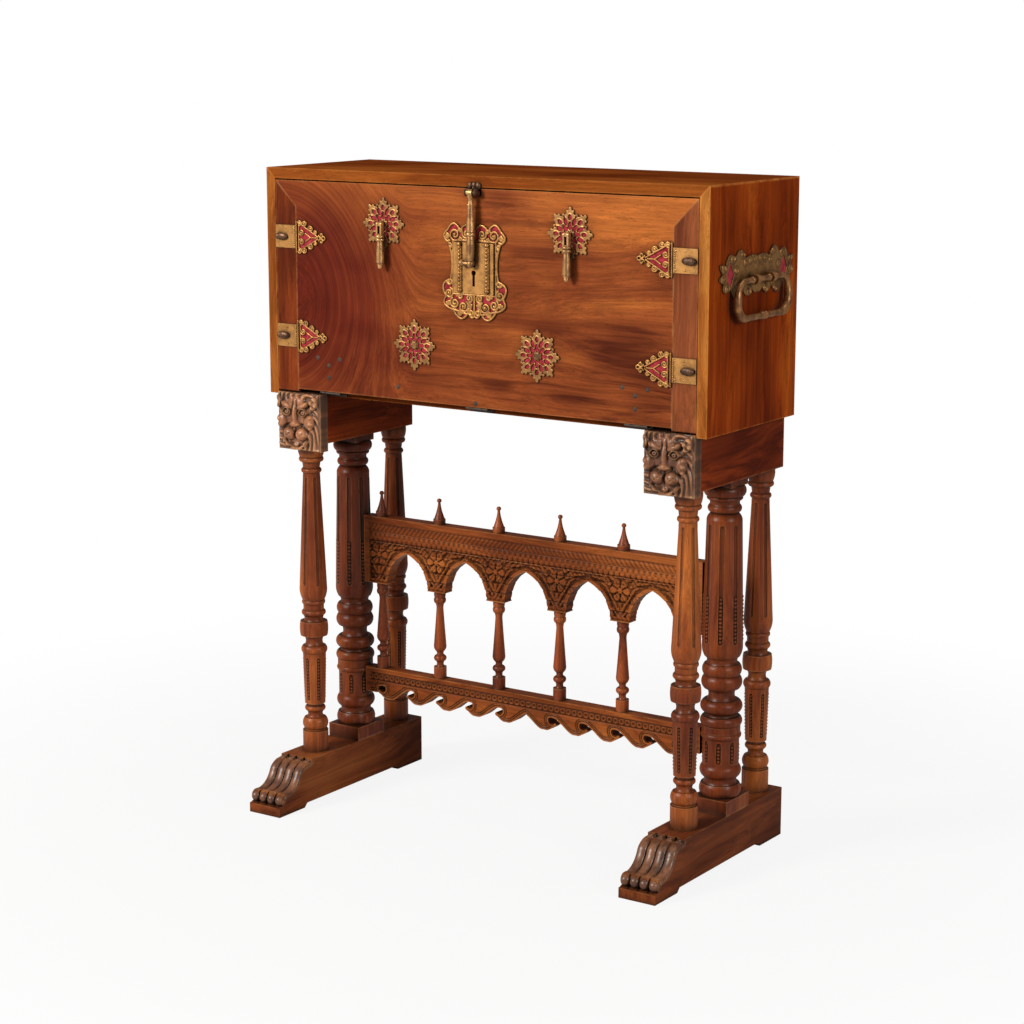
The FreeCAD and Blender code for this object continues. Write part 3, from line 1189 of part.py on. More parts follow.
def make_feet():
    """Two sled feet: a carved S-shaped front over a toe plate, and a shallow hollow under the middle."""
    half = S.foot_long / 2
    for hand, side in SIDES.items():
        base = (S.leg_reach * side, 0.0, 0.0)
        core = foot_body("foot_core_" + hand, base, S.foot_lobe_deep, S.foot_wide)
        ribs = []
        count = int(S.foot_lobe_count.value)
        pitch = (S.foot_wide - S.foot_lobe_wide) / (count - 1)
        for index in range(count):
            across = S.leg_reach * side - S.foot_wide / 2 + S.foot_lobe_wide / 2 + pitch * index
            rib_base = (across, 0.0, 0.0)
            ribs.append(foot_body("foot_rib_%s_%d" % (hand, index), rib_base, 0.0, S.foot_lobe_wide))
        toe = FOOT_FRONT_SHARES[0][-1]
        long = S.foot_slope * FOOT_FRONT_SHARES[2][-1][0]
        corner = (S.leg_reach * side - S.foot_wide / 2, -half, 0.0)
        plate = block("toe_plate_" + hand, corner, (S.foot_wide, long, S.foot_tall * toe[1]))
        keep("foot_" + hand, join("foot_joined_" + hand, [core, plate] + ribs))


def foot_body(name, base, inset, wide):
    """A foot's side view, its carved front set back by the inset, padded across its width."""
    half = S.foot_long / 2
    body = new_body(name, base)

    def point(share):
        return (inset - half + S.foot_slope * share[0], S.foot_tall * share[1])

    steps = [tuple(point(share) for share in step) for step in FOOT_FRONT_SHARES]
    steps += [((half, S.foot_tall),), ((half, 0.0),), ((half - S.foot_heel_pad, 0.0),)]
    steps += [((half - S.foot_heel_pad - S.foot_hollow, S.foot_hollow),)]
    steps += [((S.foot_toe_pad + S.foot_hollow - half, S.foot_hollow),), ((S.foot_toe_pad - half, 0.0),)]
    outline = new_sketch(body, "YZ_Plane", name + "_outline")
    pad(body, draw(outline, (inset - half, 0.0), steps), wide, name + "_pad")
    return body


def make_beams():
    """Each beam carries one end of the case; its loper slides in it behind a carved head."""
    tunnel_low = BEAM_LOW + S.loper_low
    for hand, side in SIDES.items():
        across = S.leg_reach * side
        front = -S.beam_ahead
        corner = (across - S.beam_wide / 2, front, BEAM_LOW)
        timber = block("beam_timber_" + hand, corner, (S.beam_wide, S.beam_long, S.beam_tall))
        play = S.loper_play
        corner = (across - S.loper_wide / 2 - play, front - S.overrun, tunnel_low - play)
        spans = (
            S.loper_wide + play * 2, S.overrun + S.loper_long + S.loper_end_gap, S.loper_tall + play * 2,
        )
        keep("beam_" + hand, cut("beam_bored_" + hand, timber, [block("tunnel_" + hand, corner, spans)]))
        bar_front = front - play
        corner = (across - S.loper_wide / 2, bar_front, tunnel_low)
        keep("loper_bar_" + hand, block("loper_" + hand, corner, (S.loper_wide, S.loper_long, S.loper_tall)))
        keep("lion_head_" + hand, make_head(hand, side, bar_front))


def make_head(hand, side, back):
    """A carved lion head: a block with brows, cheeks, nose, muzzle and an open mouth."""
    outer = INNER_HALF - S.head_side_gap
    centre_x = (outer - S.head_wide / 2) * side
    top = AXIS_Z - S.axis_inset - S.running_gap
    front = back - S.head_thick
    centre_z = top - S.head_tall / 2
    corner = (centre_x - S.head_wide / 2, front, top - S.head_tall)
    pieces = [block("head_block_" + hand, corner, (S.head_wide, S.head_thick, S.head_tall))]
    for index, (across, rise, girth, proud) in enumerate(MASK_SHARES):
        radius = S.head_wide / 2 * girth
        centre = (
            centre_x + S.head_wide / 2 * across, front + radius - S.head_relief * proud,
            centre_z + S.head_tall / 2 * rise,
        )
        pieces.append(ball("mask_%s_%d" % (hand, index), centre, radius))
    solid = join("mask_joined_" + hand, pieces)
    across, rise, wide, tall = MOUTH_SHARES
    corner = (
        centre_x + S.head_wide / 2 * (across - wide), front - S.head_relief, centre_z + S.head_tall / 2 * rise,
    )
    spans = (S.head_wide * wide, S.head_relief + S.head_thick / 3, S.head_tall * tall)
    carved = cut("mask_carved_" + hand, solid, [block("mouth_" + hand, corner, spans)])
    corner = (centre_x - S.head_wide / 2, front - S.head_relief, top - S.head_tall)
    spans = (S.head_wide, S.head_relief + S.head_thick, S.head_tall)
    return common("lion_" + hand, carved, block("mask_bounds_" + hand, corner, spans))


def make_stretcher():
    """The arcaded rail, the waved rail under it, and the balusters and finials in line."""
    middle = COLUMN_ROWS["middle"]
    copes = [cope("rail_" + hand, side, S.rail_low, S.rail_top, 0.975) for hand, side in SIDES.items()]
    keep("arcade_rail", cut("arcade_coped", arcade_board(middle), copes))
    low = S.bottom_rail_top - S.bottom_rail_tall - S.wave_tall
    copes = [cope("base_" + hand, side, low, S.bottom_rail_top, 0.975) for hand, side in SIDES.items()]
    keep("bottom_rail", cut("waved_coped", waved_board(middle), copes))
    balusters = []
    finials = []
    count = int(S.arch_count.value) + 1
    for index in range(count):
        across = S.baluster_pitch * (index - (count - 1) / 2)
        base = (across, middle, S.bottom_rail_top)
        rise = S.rail_low - S.bottom_rail_top
        balusters.append(turned("baluster_%d" % index, base, S.baluster_girth, rise, BALUSTER_SHARES))
        base = (across, middle, S.rail_top)
        finials.append(turned("finial_%d" % index, base, S.finial_girth, S.finial_rise, FINIAL_SHARES))
    keep("balusters", group("all_balusters", balusters))
    keep("finials", group("all_finials", finials))


def cope(name, side, low, high, share):
    """The round that a rail's end is cut to, so that it fits its column."""
    start = (S.leg_reach * side, COLUMN_ROWS["middle"], low - S.overrun)
    radius = S.middle_girth / 2 * share + S.cope_gap
    return rod("cope_" + name, "z", start, radius, high - low + S.overrun * 2)


def arcade_board(middle):
    """The upper rail: pointed arches between spandrels that stand on the balusters."""
    body = new_body("arcade_board", (0.0, middle, 0.0))
    count = int(S.arch_count.value)
    end = S.leg_reach
    half_span = (S.baluster_pitch - S.spandrel_wide) / 2
    belly_wide, belly_tall = ARCH_BELLY_SHARES
    steps = [((-end, S.rail_low),)]
    for index in range(count):
        centre = S.baluster_pitch * (index - (count - 1) / 2)
        rise = S.rail_low + S.arch_rise * belly_tall
        steps.append(((centre - half_span, S.rail_low),))
        steps.append(((centre - half_span * belly_wide, rise), (centre, S.rail_low + S.arch_rise)))
        steps.append(((centre + half_span * belly_wide, rise), (centre + half_span, S.rail_low)))
    steps += [((end, S.rail_low),), ((end, S.rail_top),)]
    outline = new_sketch(body, "XZ_Plane", "arcade_outline")
    pad(body, draw(outline, (-end, S.rail_top), steps), S.rail_thick, "arcade_pad")
    return body


def waved_board(middle):
    """The lower rail: a straight band over a running wave that turns about its middle."""
    body = new_body("waved_board", (0.0, middle, 0.0))
    count = int(S.wave_count.value)
    end = S.leg_reach
    wave_half = end - S.middle_girth / 2 - S.rail_end_block
    pitch = wave_half * 2 / count
    crest = S.bottom_rail_top - S.bottom_rail_tall
    low = crest - S.wave_tall
    block_low = crest - S.wave_tall * 0.7
    steps = [((-end, block_low),), ((-wave_half, block_low),), ((-wave_half, crest),)]
    for index in range(count):
        start = pitch * (index - count / 2)
        steps += [tuple((start + pitch * across, crest - S.wave_tall * rise) for across, rise in step)
                  for step in wave_steps(index < count / 2)]
    steps += [((wave_half, block_low),), ((end, block_low),), ((end, S.bottom_rail_top),)]
    outline = new_sketch(body, "XZ_Plane", "waved_outline")
    pad(body, draw(outline, (-end, S.bottom_rail_top), steps), S.rail_thick, "waved_pad")
    return body


def wave_steps(forward):
    """One scallop's arcs as shares of the pitch and of the wave's height, leaning one way or the other."""
    if forward:
        return WAVE_SHARES
    cusps = [(0.0, 0.0)] + [step[-1] for step in WAVE_SHARES]
    steps = []
    for index in range(len(WAVE_SHARES), 0, -1):
        belly = WAVE_SHARES[index - 1][0]
        far = cusps[index - 1]
        steps.append(((1 - belly[0], belly[1]), (1 - far[0], far[1])))
    return steps


def write_parts():
    """Test every object, then write one file for each sub-part."""
    DOC.recompute()
    faults = [item.Name for item in DOC.Objects if "Invalid" in item.State or "Error" in item.State]
    for node, piece in NODES.items():
        shape = piece.Shape
        if shape.isNull() or not shape.isValid() or not shape.Solids:
            faults.append(node)
    if faults:
        raise ValueError("not built: " + ", ".join(faults))
    os.makedirs("parts", exist_ok=True)
    for node, piece in NODES.items():
        piece.Shape.exportStep("parts/%s.step" % node)
    print(len(NODES), "sub-parts written")


make_case()
make_fall()
make_hinges()
make_lock()
make_hasp()
make_stars()
make_bolts()
make_velvet()
make_side_handles()
make_inside()
make_columns()
make_feet()
make_beams()
make_stretcher()
write_parts()
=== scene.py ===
import bmesh
import bpy
import math
import numpy as np
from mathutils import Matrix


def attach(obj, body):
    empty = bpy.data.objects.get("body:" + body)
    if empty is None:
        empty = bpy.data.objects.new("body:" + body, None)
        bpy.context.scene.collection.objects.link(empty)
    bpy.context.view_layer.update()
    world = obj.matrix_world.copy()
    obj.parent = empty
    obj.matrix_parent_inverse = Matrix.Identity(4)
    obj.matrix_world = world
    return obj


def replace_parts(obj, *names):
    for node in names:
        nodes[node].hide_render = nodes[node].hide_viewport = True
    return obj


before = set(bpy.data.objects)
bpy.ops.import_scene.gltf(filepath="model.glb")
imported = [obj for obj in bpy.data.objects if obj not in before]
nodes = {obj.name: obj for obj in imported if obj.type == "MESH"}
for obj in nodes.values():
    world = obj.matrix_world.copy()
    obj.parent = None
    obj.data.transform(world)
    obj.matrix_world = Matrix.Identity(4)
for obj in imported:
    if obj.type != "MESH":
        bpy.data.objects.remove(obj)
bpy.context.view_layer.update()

# The studio: a white floor that keeps a soft shadow, a large lamp to the front left, a weaker one
# to the right and an even pale surround. The camera stands where the photograph was taken from.
camera = bpy.data.objects.new("camera", bpy.data.cameras.new("camera"))
bpy.context.scene.collection.objects.link(camera)
camera.data.sensor_width = 36.0
camera.data.lens = 84.92
camera.location = (2.5887, -3.8036, 1.5604)
camera.rotation_euler = (math.pi / 2 - 0.1992, 0.0, 0.5974)
bpy.context.scene.camera = camera
bpy.context.scene.view_settings.view_transform = "Standard"


def lamp(name, place, aim, size, watts, warmth=1.0):
    """A square soft box that faces a point."""
    data = bpy.data.lights.new(name, "AREA")
    data.size = size
    data.energy = watts
    data.color = (1.0, 1.0 - 0.04 * warmth, 1.0 - 0.1 * warmth)
    item = bpy.data.objects.new(name, data)
    bpy.context.scene.collection.objects.link(item)
    item.location = place
    ray = np.array(place, dtype=float) - np.array(aim, dtype=float)
    item.rotation_euler = (math.atan2(math.hypot(ray[0], ray[1]), ray[2]), 0.0, math.atan2(ray[0], -ray[1]))
    return item


lamp("key_lamp", (-2.2, -4.2, 3.0), (0.0, 0.0, 0.8), 1.5, 290.0)
lamp("side_lamp", (4.4, -1.2, 2.2), (0.0, 0.0, 0.8), 1.4, 92.0)
lamp("top_lamp", (0.3, 0.4, 4.2), (0.0, 0.0, 0.9), 2.6, 38.0, 0.5)


def bare(owner):
    """An empty tree of nodes."""
    owner.use_nodes = True
    owner.node_tree.nodes.clear()
    return owner.node_tree


def fill(tree, item, given):
    """Set a node's inputs, each to a value or to another node's output."""
    for key, value in given.items():
        if isinstance(value, bpy.types.NodeSocket):
            tree.links.new(value, item.inputs[key])
        else:
            item.inputs[key].default_value = value
    return item


def node(tree, kind, given=None, **settings):
    """A new shader node with its settings and its inputs."""
    item = tree.nodes.new("ShaderNode" + kind)
    for key, value in settings.items():
        setattr(item, key, value)
    return fill(tree, item, given or {})


def sums(tree, way, first, second):
    """A sum or product of two values."""
    return node(tree, "Math", {0: first, 1: second}, operation=way).outputs["Value"]


def span(tree, value, low, high, to_low=0.0, to_high=1.0, way="LINEAR"):
    """A value carried from one range to another, and clamped."""
    given = {"Value": value, "From Min": low, "From Max": high, "To Min": to_low, "To Max": to_high}
    return node(tree, "MapRange", given, interpolation_type=way).outputs["Result"]


world = bpy.data.worlds.new("surround")
bpy.context.scene.world = world
air = bare(world)
seen = node(air, "LightPath").outputs["Is Camera Ray"]
sky = node(air, "Background", {"Color": (1.0, 1.0, 1.0, 1.0), "Strength": span(air, seen, 0.0, 1.0, 0.15)})
node(air, "OutputWorld", {"Surface": sky.outputs["Background"]})

floor_mesh = bpy.data.meshes.new("floor")
reach = np.linspace(-14.0, 14.0, 2)
floor_mesh.from_pydata([(x, y, 0.0) for y in reach for x in reach], [], [(0, 1, 3, 2)])
floor = bpy.data.objects.new("floor", floor_mesh)
bpy.context.scene.collection.objects.link(floor)
paper = bpy.data.materials.new("paper")
sheet = bare(paper)
place = node(sheet, "TexCoord").outputs["Object"]
spot = node(sheet, "VectorMath", {0: place}, operation="LENGTH").outputs["Value"]
far = span(sheet, spot, 0.7, 2.0, 0.88, 1.0, "SMOOTHSTEP")
share = sums(sheet, "MULTIPLY", node(sheet, "LightPath").outputs["Is Camera Ray"], far)
matt = node(sheet, "BsdfDiffuse", {"Color": (0.6, 0.6, 0.6, 1.0)}).outputs["BSDF"]
glow = node(sheet, "Emission").outputs["Emission"]
blend = node(sheet, "MixShader", {"Fac": share, 1: matt, 2: glow})
node(sheet, "OutputMaterial", {"Surface": blend.outputs["Shader"]})
floor_mesh.materials.append(paper)

# The feet: walnut blocks whose grain runs from front to back. Their fronts are carved with lobes that
# roll down to a flat toe plate. The finish of all the walnut is worked out here first.


def fresh(name):
    """A new material with nothing but its shader and output: the material, its tree and its shader."""
    material = bpy.data.materials.new(name)
    material.use_nodes = True
    return material, material.node_tree, material.node_tree.nodes["Principled BSDF"]


def noise(tree, vector, scale, detail=4.0, rough=0.55):
    """A noise texture on a vector."""
    given = {"Vector": vector, "Scale": scale, "Detail": detail, "Roughness": rough}
    return node(tree, "TexNoise", given).outputs["Fac"]


def vectors(tree, way, first, second):
    """A sum or product of two vectors."""
    return node(tree, "VectorMath", {0: first, 1: second}, operation=way).outputs["Vector"]


def mixed(tree, share, first, second, way="MIX"):
    """Two colours mixed by a share. Each may be a colour or an output."""
    return node(tree, "Mix", {0: share, 6: first, 7: second}, data_type="RGBA", blend_type=way).outputs[2]


def grouped(name, inputs, outputs):
    """A node group with named sockets, each of a kind and some with a first value: the group, what it is
    given and the node that gives its results."""
    group = bpy.data.node_groups.new(name, "ShaderNodeTree")
    for way, rows in (("INPUT", inputs), ("OUTPUT", outputs)):
        for title, kind, *value in rows:
            item = group.interface.new_socket(name=title, in_out=way, socket_type="NodeSocket" + kind)
            if value:
                item.default_value = value[0]
    return group, group.nodes.new("NodeGroupInput").outputs, group.nodes.new("NodeGroupOutput")


def make_grain():
    """Walnut: broad wavy bands, fine streaks and short dark pores along X, in worked-out colours."""
    group, given, gives = grouped("walnut_grain", (
        ("Vector", "Vector"), ("Patches", "Vector"), ("Dark", "Color", (0.05, 0.018, 0.008, 1)),
        ("Middle", "Color", (0.2, 0.08, 0.03, 1)), ("Light", "Color", (0.36, 0.16, 0.06, 1)),
        ("Figure", "Float", 0.5)), (("Color", "Color"), ("Roughness", "Float"), ("Height", "Float")))

    def along(vector, long, wide, detail, rough=0.55):
        """Noise drawn out along the grain: its scale along X, and its scale across."""
        return noise(group, vectors(group, "MULTIPLY", vector, (long, wide, wide)), 1.0, detail, rough)

    drift = noise(group, vectors(group, "MULTIPLY", given["Vector"], (0.9, 4.0, 4.0)), 1.5, 2.0)
    swing = sums(group, "MULTIPLY", sums(group, "SUBTRACT", drift, 0.5), given["Figure"])
    shift = node(group, "CombineXYZ", {0: swing, 1: swing, 2: swing}).outputs[0]
    vector = vectors(group, "ADD", given["Vector"], shift)
    bands = along(vector, 0.7, 24.0, 3.5, 0.58)
    veins = along(vector, 1.5, 70.0, 3.0, 0.6)
    lines = along(vector, 3.0, 170.0, 4.0, 0.65)
    streaks = along(vector, 8.0, 420.0, 3.0, 0.6)
    pores = along(vector, 70.0, 900.0, 1.0, 0.4)
    patches = noise(group, vectors(group, "MULTIPLY", given["Patches"], (1.0, 2.0, 2.0)), 2.3, 3.0)
    cloud = sums(group, "ADD", sums(group, "MULTIPLY", bands, 0.34), sums(group, "MULTIPLY", patches, 0.66))
    warm = mixed(group, span(group, cloud, 0.36, 0.5), given["Dark"], given["Middle"])
    warm = mixed(group, span(group, cloud, 0.5, 0.66), warm, given["Light"])
    vein = sums(group, "MULTIPLY", span(group, veins, 0.52, 0.64, 0.0, 0.72),
                span(group, patches, 0.58, 0.42, 0.12, 1.0))
    warm = mixed(group, vein, warm, given["Dark"])
    warm = mixed(group, 1.0, warm, span(group, lines, 0.34, 0.66, 0.76, 1.18), "MULTIPLY")
    warm = mixed(group, 1.0, warm, span(group, streaks, 0.35, 0.68, 0.84, 1.1), "MULTIPLY")
    hole = span(group, pores, 0.62, 0.7)
    fill(group, gives, {
        "Color": mixed(group, sums(group, "MULTIPLY", hole, 0.45), warm, given["Dark"]),
        "Roughness": span(group, streaks, 0.3, 0.7, 0.3, 0.46),
        "Height": sums(group, "SUBTRACT", sums(group, "MULTIPLY", streaks, 0.25), hole)})
    return group


def make_wear_and_shade():
    """Age and light: a painted shade darkens the colour where the form closes in and in carved hollows, and
    edges that hands rub turn paler, which is wear and also a painted highlight.
    """
    group, given, gives = grouped("wear_highlight_and_shade", (
        ("Color", "Color", (0.5, 0.5, 0.5, 1)), ("Dirt", "Color", (0.02, 0.01, 0.006, 1)),
        ("Rubbed", "Color", (0.5, 0.25, 0.1, 1)), ("Depth", "Float", 0.8), ("Edges", "Float", 0.6),
        ("Reach", "Float", 0.0035), ("Settled", "Float", 0.014)), (("Color", "Color"),))
    # Painted shade: ambient occlusion and the carvings' stored shade darken the colour towards the shade
    # colour
    hollow_shade = node(group, "AmbientOcclusion", {"Distance": given["Settled"]}, samples=6)
    carved_shade = node(group, "Attribute", attribute_name="hollow_shade").outputs["Fac"]
    deep = sums(group, "MAXIMUM", span(group, hollow_shade.outputs["AO"], 0.4, 0.98, 1.0, 0.0), carved_shade)
    # Edges found by occlusion from inside turn paler: rubbed wear, and a painted highlight
    edge = node(group, "AmbientOcclusion", {"Distance": given["Reach"]}, samples=6, inside=True)
    place = node(group, "TexCoord").outputs["Object"]
    patchy = span(group, noise(group, place, 38.0, 4.0), 0.38, 0.62, 0.25, 1.0)
    rub_highlight = sums(group, "MULTIPLY", span(group, edge.outputs["AO"], 0.45, 0.9, 1.0, 0.0), patchy)
    tone = mixed(group, sums(group, "MULTIPLY", rub_highlight, given["Edges"]), given["Color"], given["Rubbed"])
    dark = sums(group, "MULTIPLY", deep, given["Depth"])
    fill(group, gives, {"Color": mixed(group, dark, tone, given["Dirt"])})
    return group


grain = make_grain()
wear_and_shade = make_wear_and_shade()
GRAIN_TURNS = {"x": (0.0, 0.0, 0.0), "y": (0.0, 0.0, math.pi / 2), "z": (0.0, math.pi / 2, 0.0)}
# Where the case's front edges end, as places along Y
FRONT_EDGE = (-0.1206, -0.1203)


def solid(colour):
    """A colour with its fourth number."""
    return tuple(colour) + (1.0,)


def walnut(name, along, dark, middle, light, figure=0.2, depth=0.8, edges=0.6, rubbed_highlight=(0.42, 0.2, 0.075),
           edge_reach=0.0035, gloss=0.07, front=None, settled=0.014):
    """Waxed walnut whose grain runs along one axis. A front colour multiplies the edges that face
    forwards. A painted shade darkens it in hollows and where the form closes in, as strong as depth says,
    and its rubbed edges turn paler, which is wear and a painted highlight."""
    material, tree, shader = fresh(name)
    place = node(tree, "TexCoord").outputs["Object"]
    turned = node(tree, "Mapping", {"Vector": place, "Rotation": GRAIN_TURNS[along]}).outputs["Vector"]
    cut = node(tree, "Group", {
        "Vector": turned, "Patches": turned, "Dark": solid(dark), "Middle": solid(middle),
        "Light": solid(light), "Figure": figure}, node_tree=grain)
    tone = cut.outputs["Color"]
    if front:
        ahead = span(tree, node(tree, "SeparateXYZ", {0: place}).outputs["Y"], *FRONT_EDGE, 0.85, 0.0)
        tone = mixed(tree, ahead, tone, mixed(tree, 1.0, tone, solid(front), "MULTIPLY"))
    age = node(tree, "Group", {"Color": tone, "Rubbed": solid(rubbed_highlight), "Depth": depth, "Edges": edges,
                               "Reach": edge_reach, "Settled": settled}, node_tree=wear_and_shade)
    rise = node(tree, "Bump", {"Strength": 0.12, "Distance": 0.0006, "Height": cut.outputs["Height"]})
    fill(tree, shader, {"Base Color": age.outputs["Color"], "Roughness": cut.outputs["Roughness"],
                        "Specular IOR Level": gloss, "Normal": rise.outputs["Normal"]})
    return material


def dress(material, *names):
    """Give CAD nodes their finish."""
    for name in names:
        data = nodes[name].data
        data.materials.clear()
        data.materials.append(material)


foot_wood = walnut("foot_walnut", "y", (0.08, 0.016, 0.005), (0.21, 0.052, 0.014), (0.34, 0.105, 0.026),
                   0.3, 0.9, 0.35)
toe_wood = walnut("toe_walnut", "y", (0.027, 0.009, 0.005), (0.07, 0.023, 0.012), (0.128, 0.047, 0.023),
                  0.3, 0.95, 0.8, (0.27, 0.11, 0.05), gloss=0.55, edge_reach=0.006, settled=0.02)
dress(foot_wood, "foot_left", "foot_right")


def woven(points):
    """Quads over a grid of points, each joined to its neighbours, and all round the second way."""
    rows, columns = points.shape[:2]
    u = np.arange(rows - 1)[:, None]
    v = np.arange(columns)[None, :]
    ahead = (v + 1) % columns
    corners = (u * columns + v, (u + 1) * columns + v, (u + 1) * columns + ahead, u * columns + ahead)
    return points.reshape(-1, 3), np.stack(np.broadcast_arrays(*corners), axis=-1).reshape(-1, 4)


def carried(path, radii, across, around=12):
    """A round or oval bar along a path: rings of cos(a) times the across direction and sin(a) times its
    cross product with the path's direction, closed by a point at each end."""
    path = np.concatenate([path[:1], path, path[-1:]])
    wide, tall = [np.pad(np.broadcast_to(radius, len(path) - 2), 1) for radius in radii]
    ahead = np.gradient(path, axis=0)
    ahead[0], ahead[-1] = ahead[1], ahead[-2]
    ahead /= np.linalg.norm(ahead, axis=1)[:, None]
    across = np.broadcast_to(np.array(across, dtype=float), path.shape)
    rise = np.cross(ahead, across)
    angle = np.linspace(0.0, 2 * math.pi, around, endpoint=False)
    rings = (path[:, None] + (wide[:, None] * np.cos(angle))[..., None] * across[:, None]
             + (tall[:, None] * np.sin(angle))[..., None] * rise[:, None])
    return woven(rings)


def strung(centres, radii, around=8, rows=5):
    """Low balls at many places: x = a sin(p) cos(q), y = b sin(p) sin(q), z = c cos(p) about each centre."""
    pole = np.linspace(0.0, math.pi, rows)[:, None]
    turn = np.linspace(0.0, 2 * math.pi, around, endpoint=False)[None, :]
    ball = (np.sin(pole) * np.cos(turn), np.sin(pole) * np.sin(turn), np.cos(pole) + 0 * turn)
    points, quads = woven(np.stack(ball, axis=-1))
    centres = np.atleast_2d(centres)
    many = centres[:, None] + points[None] * np.array(radii)
    starts = np.arange(len(centres))[:, None, None] * len(points)
    return many.reshape(-1, 3), (quads[None] + starts).reshape(-1, 4)


def through(cusps, steps=10):
    """A line through cusps and bellies: from each cusp a parabola passes the belly half-way to the next
    cusp."""
    line = [np.array(cusps[0], dtype=float)[None]]
    for step in cusps[1:]:
        start, belly, end = line[-1][-1], np.array(step[0], dtype=float), np.array(step[-1], dtype=float)
        if len(step) == 1:
            belly = (start + end) / 2
        t = np.linspace(0.0, 1.0, steps + 1)[1:, None]
        line.append((1 - t) ** 2 * start + 2 * t * (1 - t) * (2 * belly - (start + end) / 2) + t ** 2 * end)
    return np.concatenate(line)


def made(name, parts, material, body, crease=38.0):
    """One object from closed surfaces, each its points, quads and, where it is carved, how deep in a hollow
    each point lies, kept as the strength of a painted shade. Points that meet are merged."""
    starts = np.cumsum([0] + [len(part[0]) for part in parts])
    mesh = bpy.data.meshes.new(name)
    mesh.from_pydata(np.concatenate([part[0] for part in parts]).tolist(), [],
                     np.concatenate([part[1] + start for part, start in zip(parts, starts)]).tolist())
    if any(len(part) > 2 for part in parts):
        hollow_shade = np.concatenate([part[2] if len(part) > 2 else np.zeros(len(part[0])) for part in parts])
        # The stored values darken the colour in the hollows: a painted shade
        mesh.attributes.new("hollow_shade", "FLOAT", "POINT").data.foreach_set("value", hollow_shade.astype(np.float32))
    shell = bmesh.new()
    shell.from_mesh(mesh)
    bmesh.ops.remove_doubles(shell, verts=shell.verts, dist=2e-6)
    bmesh.ops.recalc_face_normals(shell, faces=shell.faces)
    shell.to_mesh(mesh)
    shell.free()
    mesh.shade_smooth()
    mesh.set_sharp_from_angle(angle=math.radians(crease))
    mesh.materials.append(material)
    item = bpy.data.objects.new(name, mesh)
    bpy.context.scene.collection.objects.link(item)
    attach(item, body)
    return item


SIDES = (("left", -1), ("right", 1))
LEG_X = 0.4377
# The scroll's line from the toe up to the ledge, in shares of the carved slope and of the foot's height
scroll_line = through([(0.13, 0.36), ((0.16, 0.425), (0.2, 0.44)), ((0.4, 0.52), (0.54, 0.74)),
                       ((0.64, 0.88), (0.86, 0.93)), ((0.875, 0.975),)], 9) * (0.119, 0.0962) + (-0.2404, 0.0)
slope = np.gradient(scroll_line, axis=0)
slope /= np.linalg.norm(slope, axis=1)[:, None]
sunk = scroll_line - 0.0036 * np.stack([-slope[:, 1], slope[:, 0]], axis=-1)
along = np.linspace(0.0, 1.0, len(sunk))
for hand, side in SIDES:
    parts = []
    for row in (-0.0302, -0.0101, 0.0101, 0.0302):
        x = LEG_X * side + row
        path = np.column_stack([np.full(len(sunk), x), sunk])
        girths = (0.0102 - 0.002 * along ** 3, 0.0068 - 0.0016 * along ** 3)
        parts.append(carried(path, girths, (1, 0, 0), 16))
        parts.append(strung((x, -0.2287, 0.0318), (0.0098, 0.01, 0.0108), 16, 11))
        parts.append(strung((x, -0.1425, 0.088), (0.0088, 0.008, 0.0062), 14, 9))
    made("foot_scrolls_" + hand, parts, toe_wood, "case_and_stand")

# The columns: six turned shafts of walnut, grain upright, with flutes cut along them. Plinths and
# square caps hold the two stout ones.
column_wood = walnut("column_walnut", "z", (0.09, 0.013, 0.004), (0.26, 0.056, 0.011), (0.54, 0.155, 0.027),
                     0.2, 1.0, 0.7, gloss=0.24, settled=0.036)
# The two stout middle columns get a darker copy of the column walnut: painted shade
shaded_stout_wood = walnut("shaded_stout_walnut", "z", (0.064, 0.009, 0.003), (0.172, 0.031, 0.006), (0.34, 0.084, 0.014),
                    0.2, 1.0, 0.7, gloss=0.22, settled=0.046)
baluster_wood = walnut("baluster_walnut", "z", (0.085, 0.013, 0.003), (0.26, 0.05, 0.01),
                       (0.48, 0.125, 0.023), 0.2, 1.0, 0.6, gloss=0.26, settled=0.016)
bead_wood = walnut("bead_walnut", "z", (0.06, 0.01, 0.003), (0.2, 0.04, 0.01), (0.34, 0.085, 0.018),
                   0.2, 0.75, 0.1, gloss=0.3)
dress(column_wood, *["column_%s_%s" % (row, hand) for row in ("front", "rear") for hand in ("left", "right")])
dress(shaded_stout_wood, "column_blocks", "column_middle_left", "column_middle_right")


def flute_beads(centre, first, count, rise, pitch, girth_low, girth_high, radius):
    """Beads in a column's flutes: on count lines round it, first the angle of one, a pitch apart along the
    rise. Their distance from the axis goes evenly from the low to the high girth."""
    angle = math.radians(first) + 2 * math.pi * np.arange(count) / count
    z = np.arange(rise[0] + pitch / 2, rise[1] - pitch / 3, pitch)
    share = (z - rise[0]) / (rise[1] - rise[0])
    out = (girth_low + (girth_high - girth_low) * share - radius * 0.55)[:, None]
    spots = np.broadcast_arrays(centre[0] + out * np.cos(angle), centre[1] + out * np.sin(angle), z[:, None])
    return strung(np.stack(spots, axis=-1).reshape(-1, 3), (radius,) * 3)


beads = []
for side in (-1, 1):
    for depth in (-0.0735, 0.2013):
        rows = ((0.2059, 0.2918), 0.0066, 0.0211, 0.0233)
        beads.append(flute_beads((LEG_X * side, depth), 30.0, 6, *rows, 0.0024))
    for row in (((0.1925, 0.232), 0.0068, 0.0348, 0.0348), ((0.4262, 0.515), 0.0074, 0.0387, 0.0374)):
        beads.append(flute_beads((LEG_X * side, 0.062), 22.5, 8, *row, 0.0031))
made("flute_beads", beads, bead_wood, "case_and_stand")

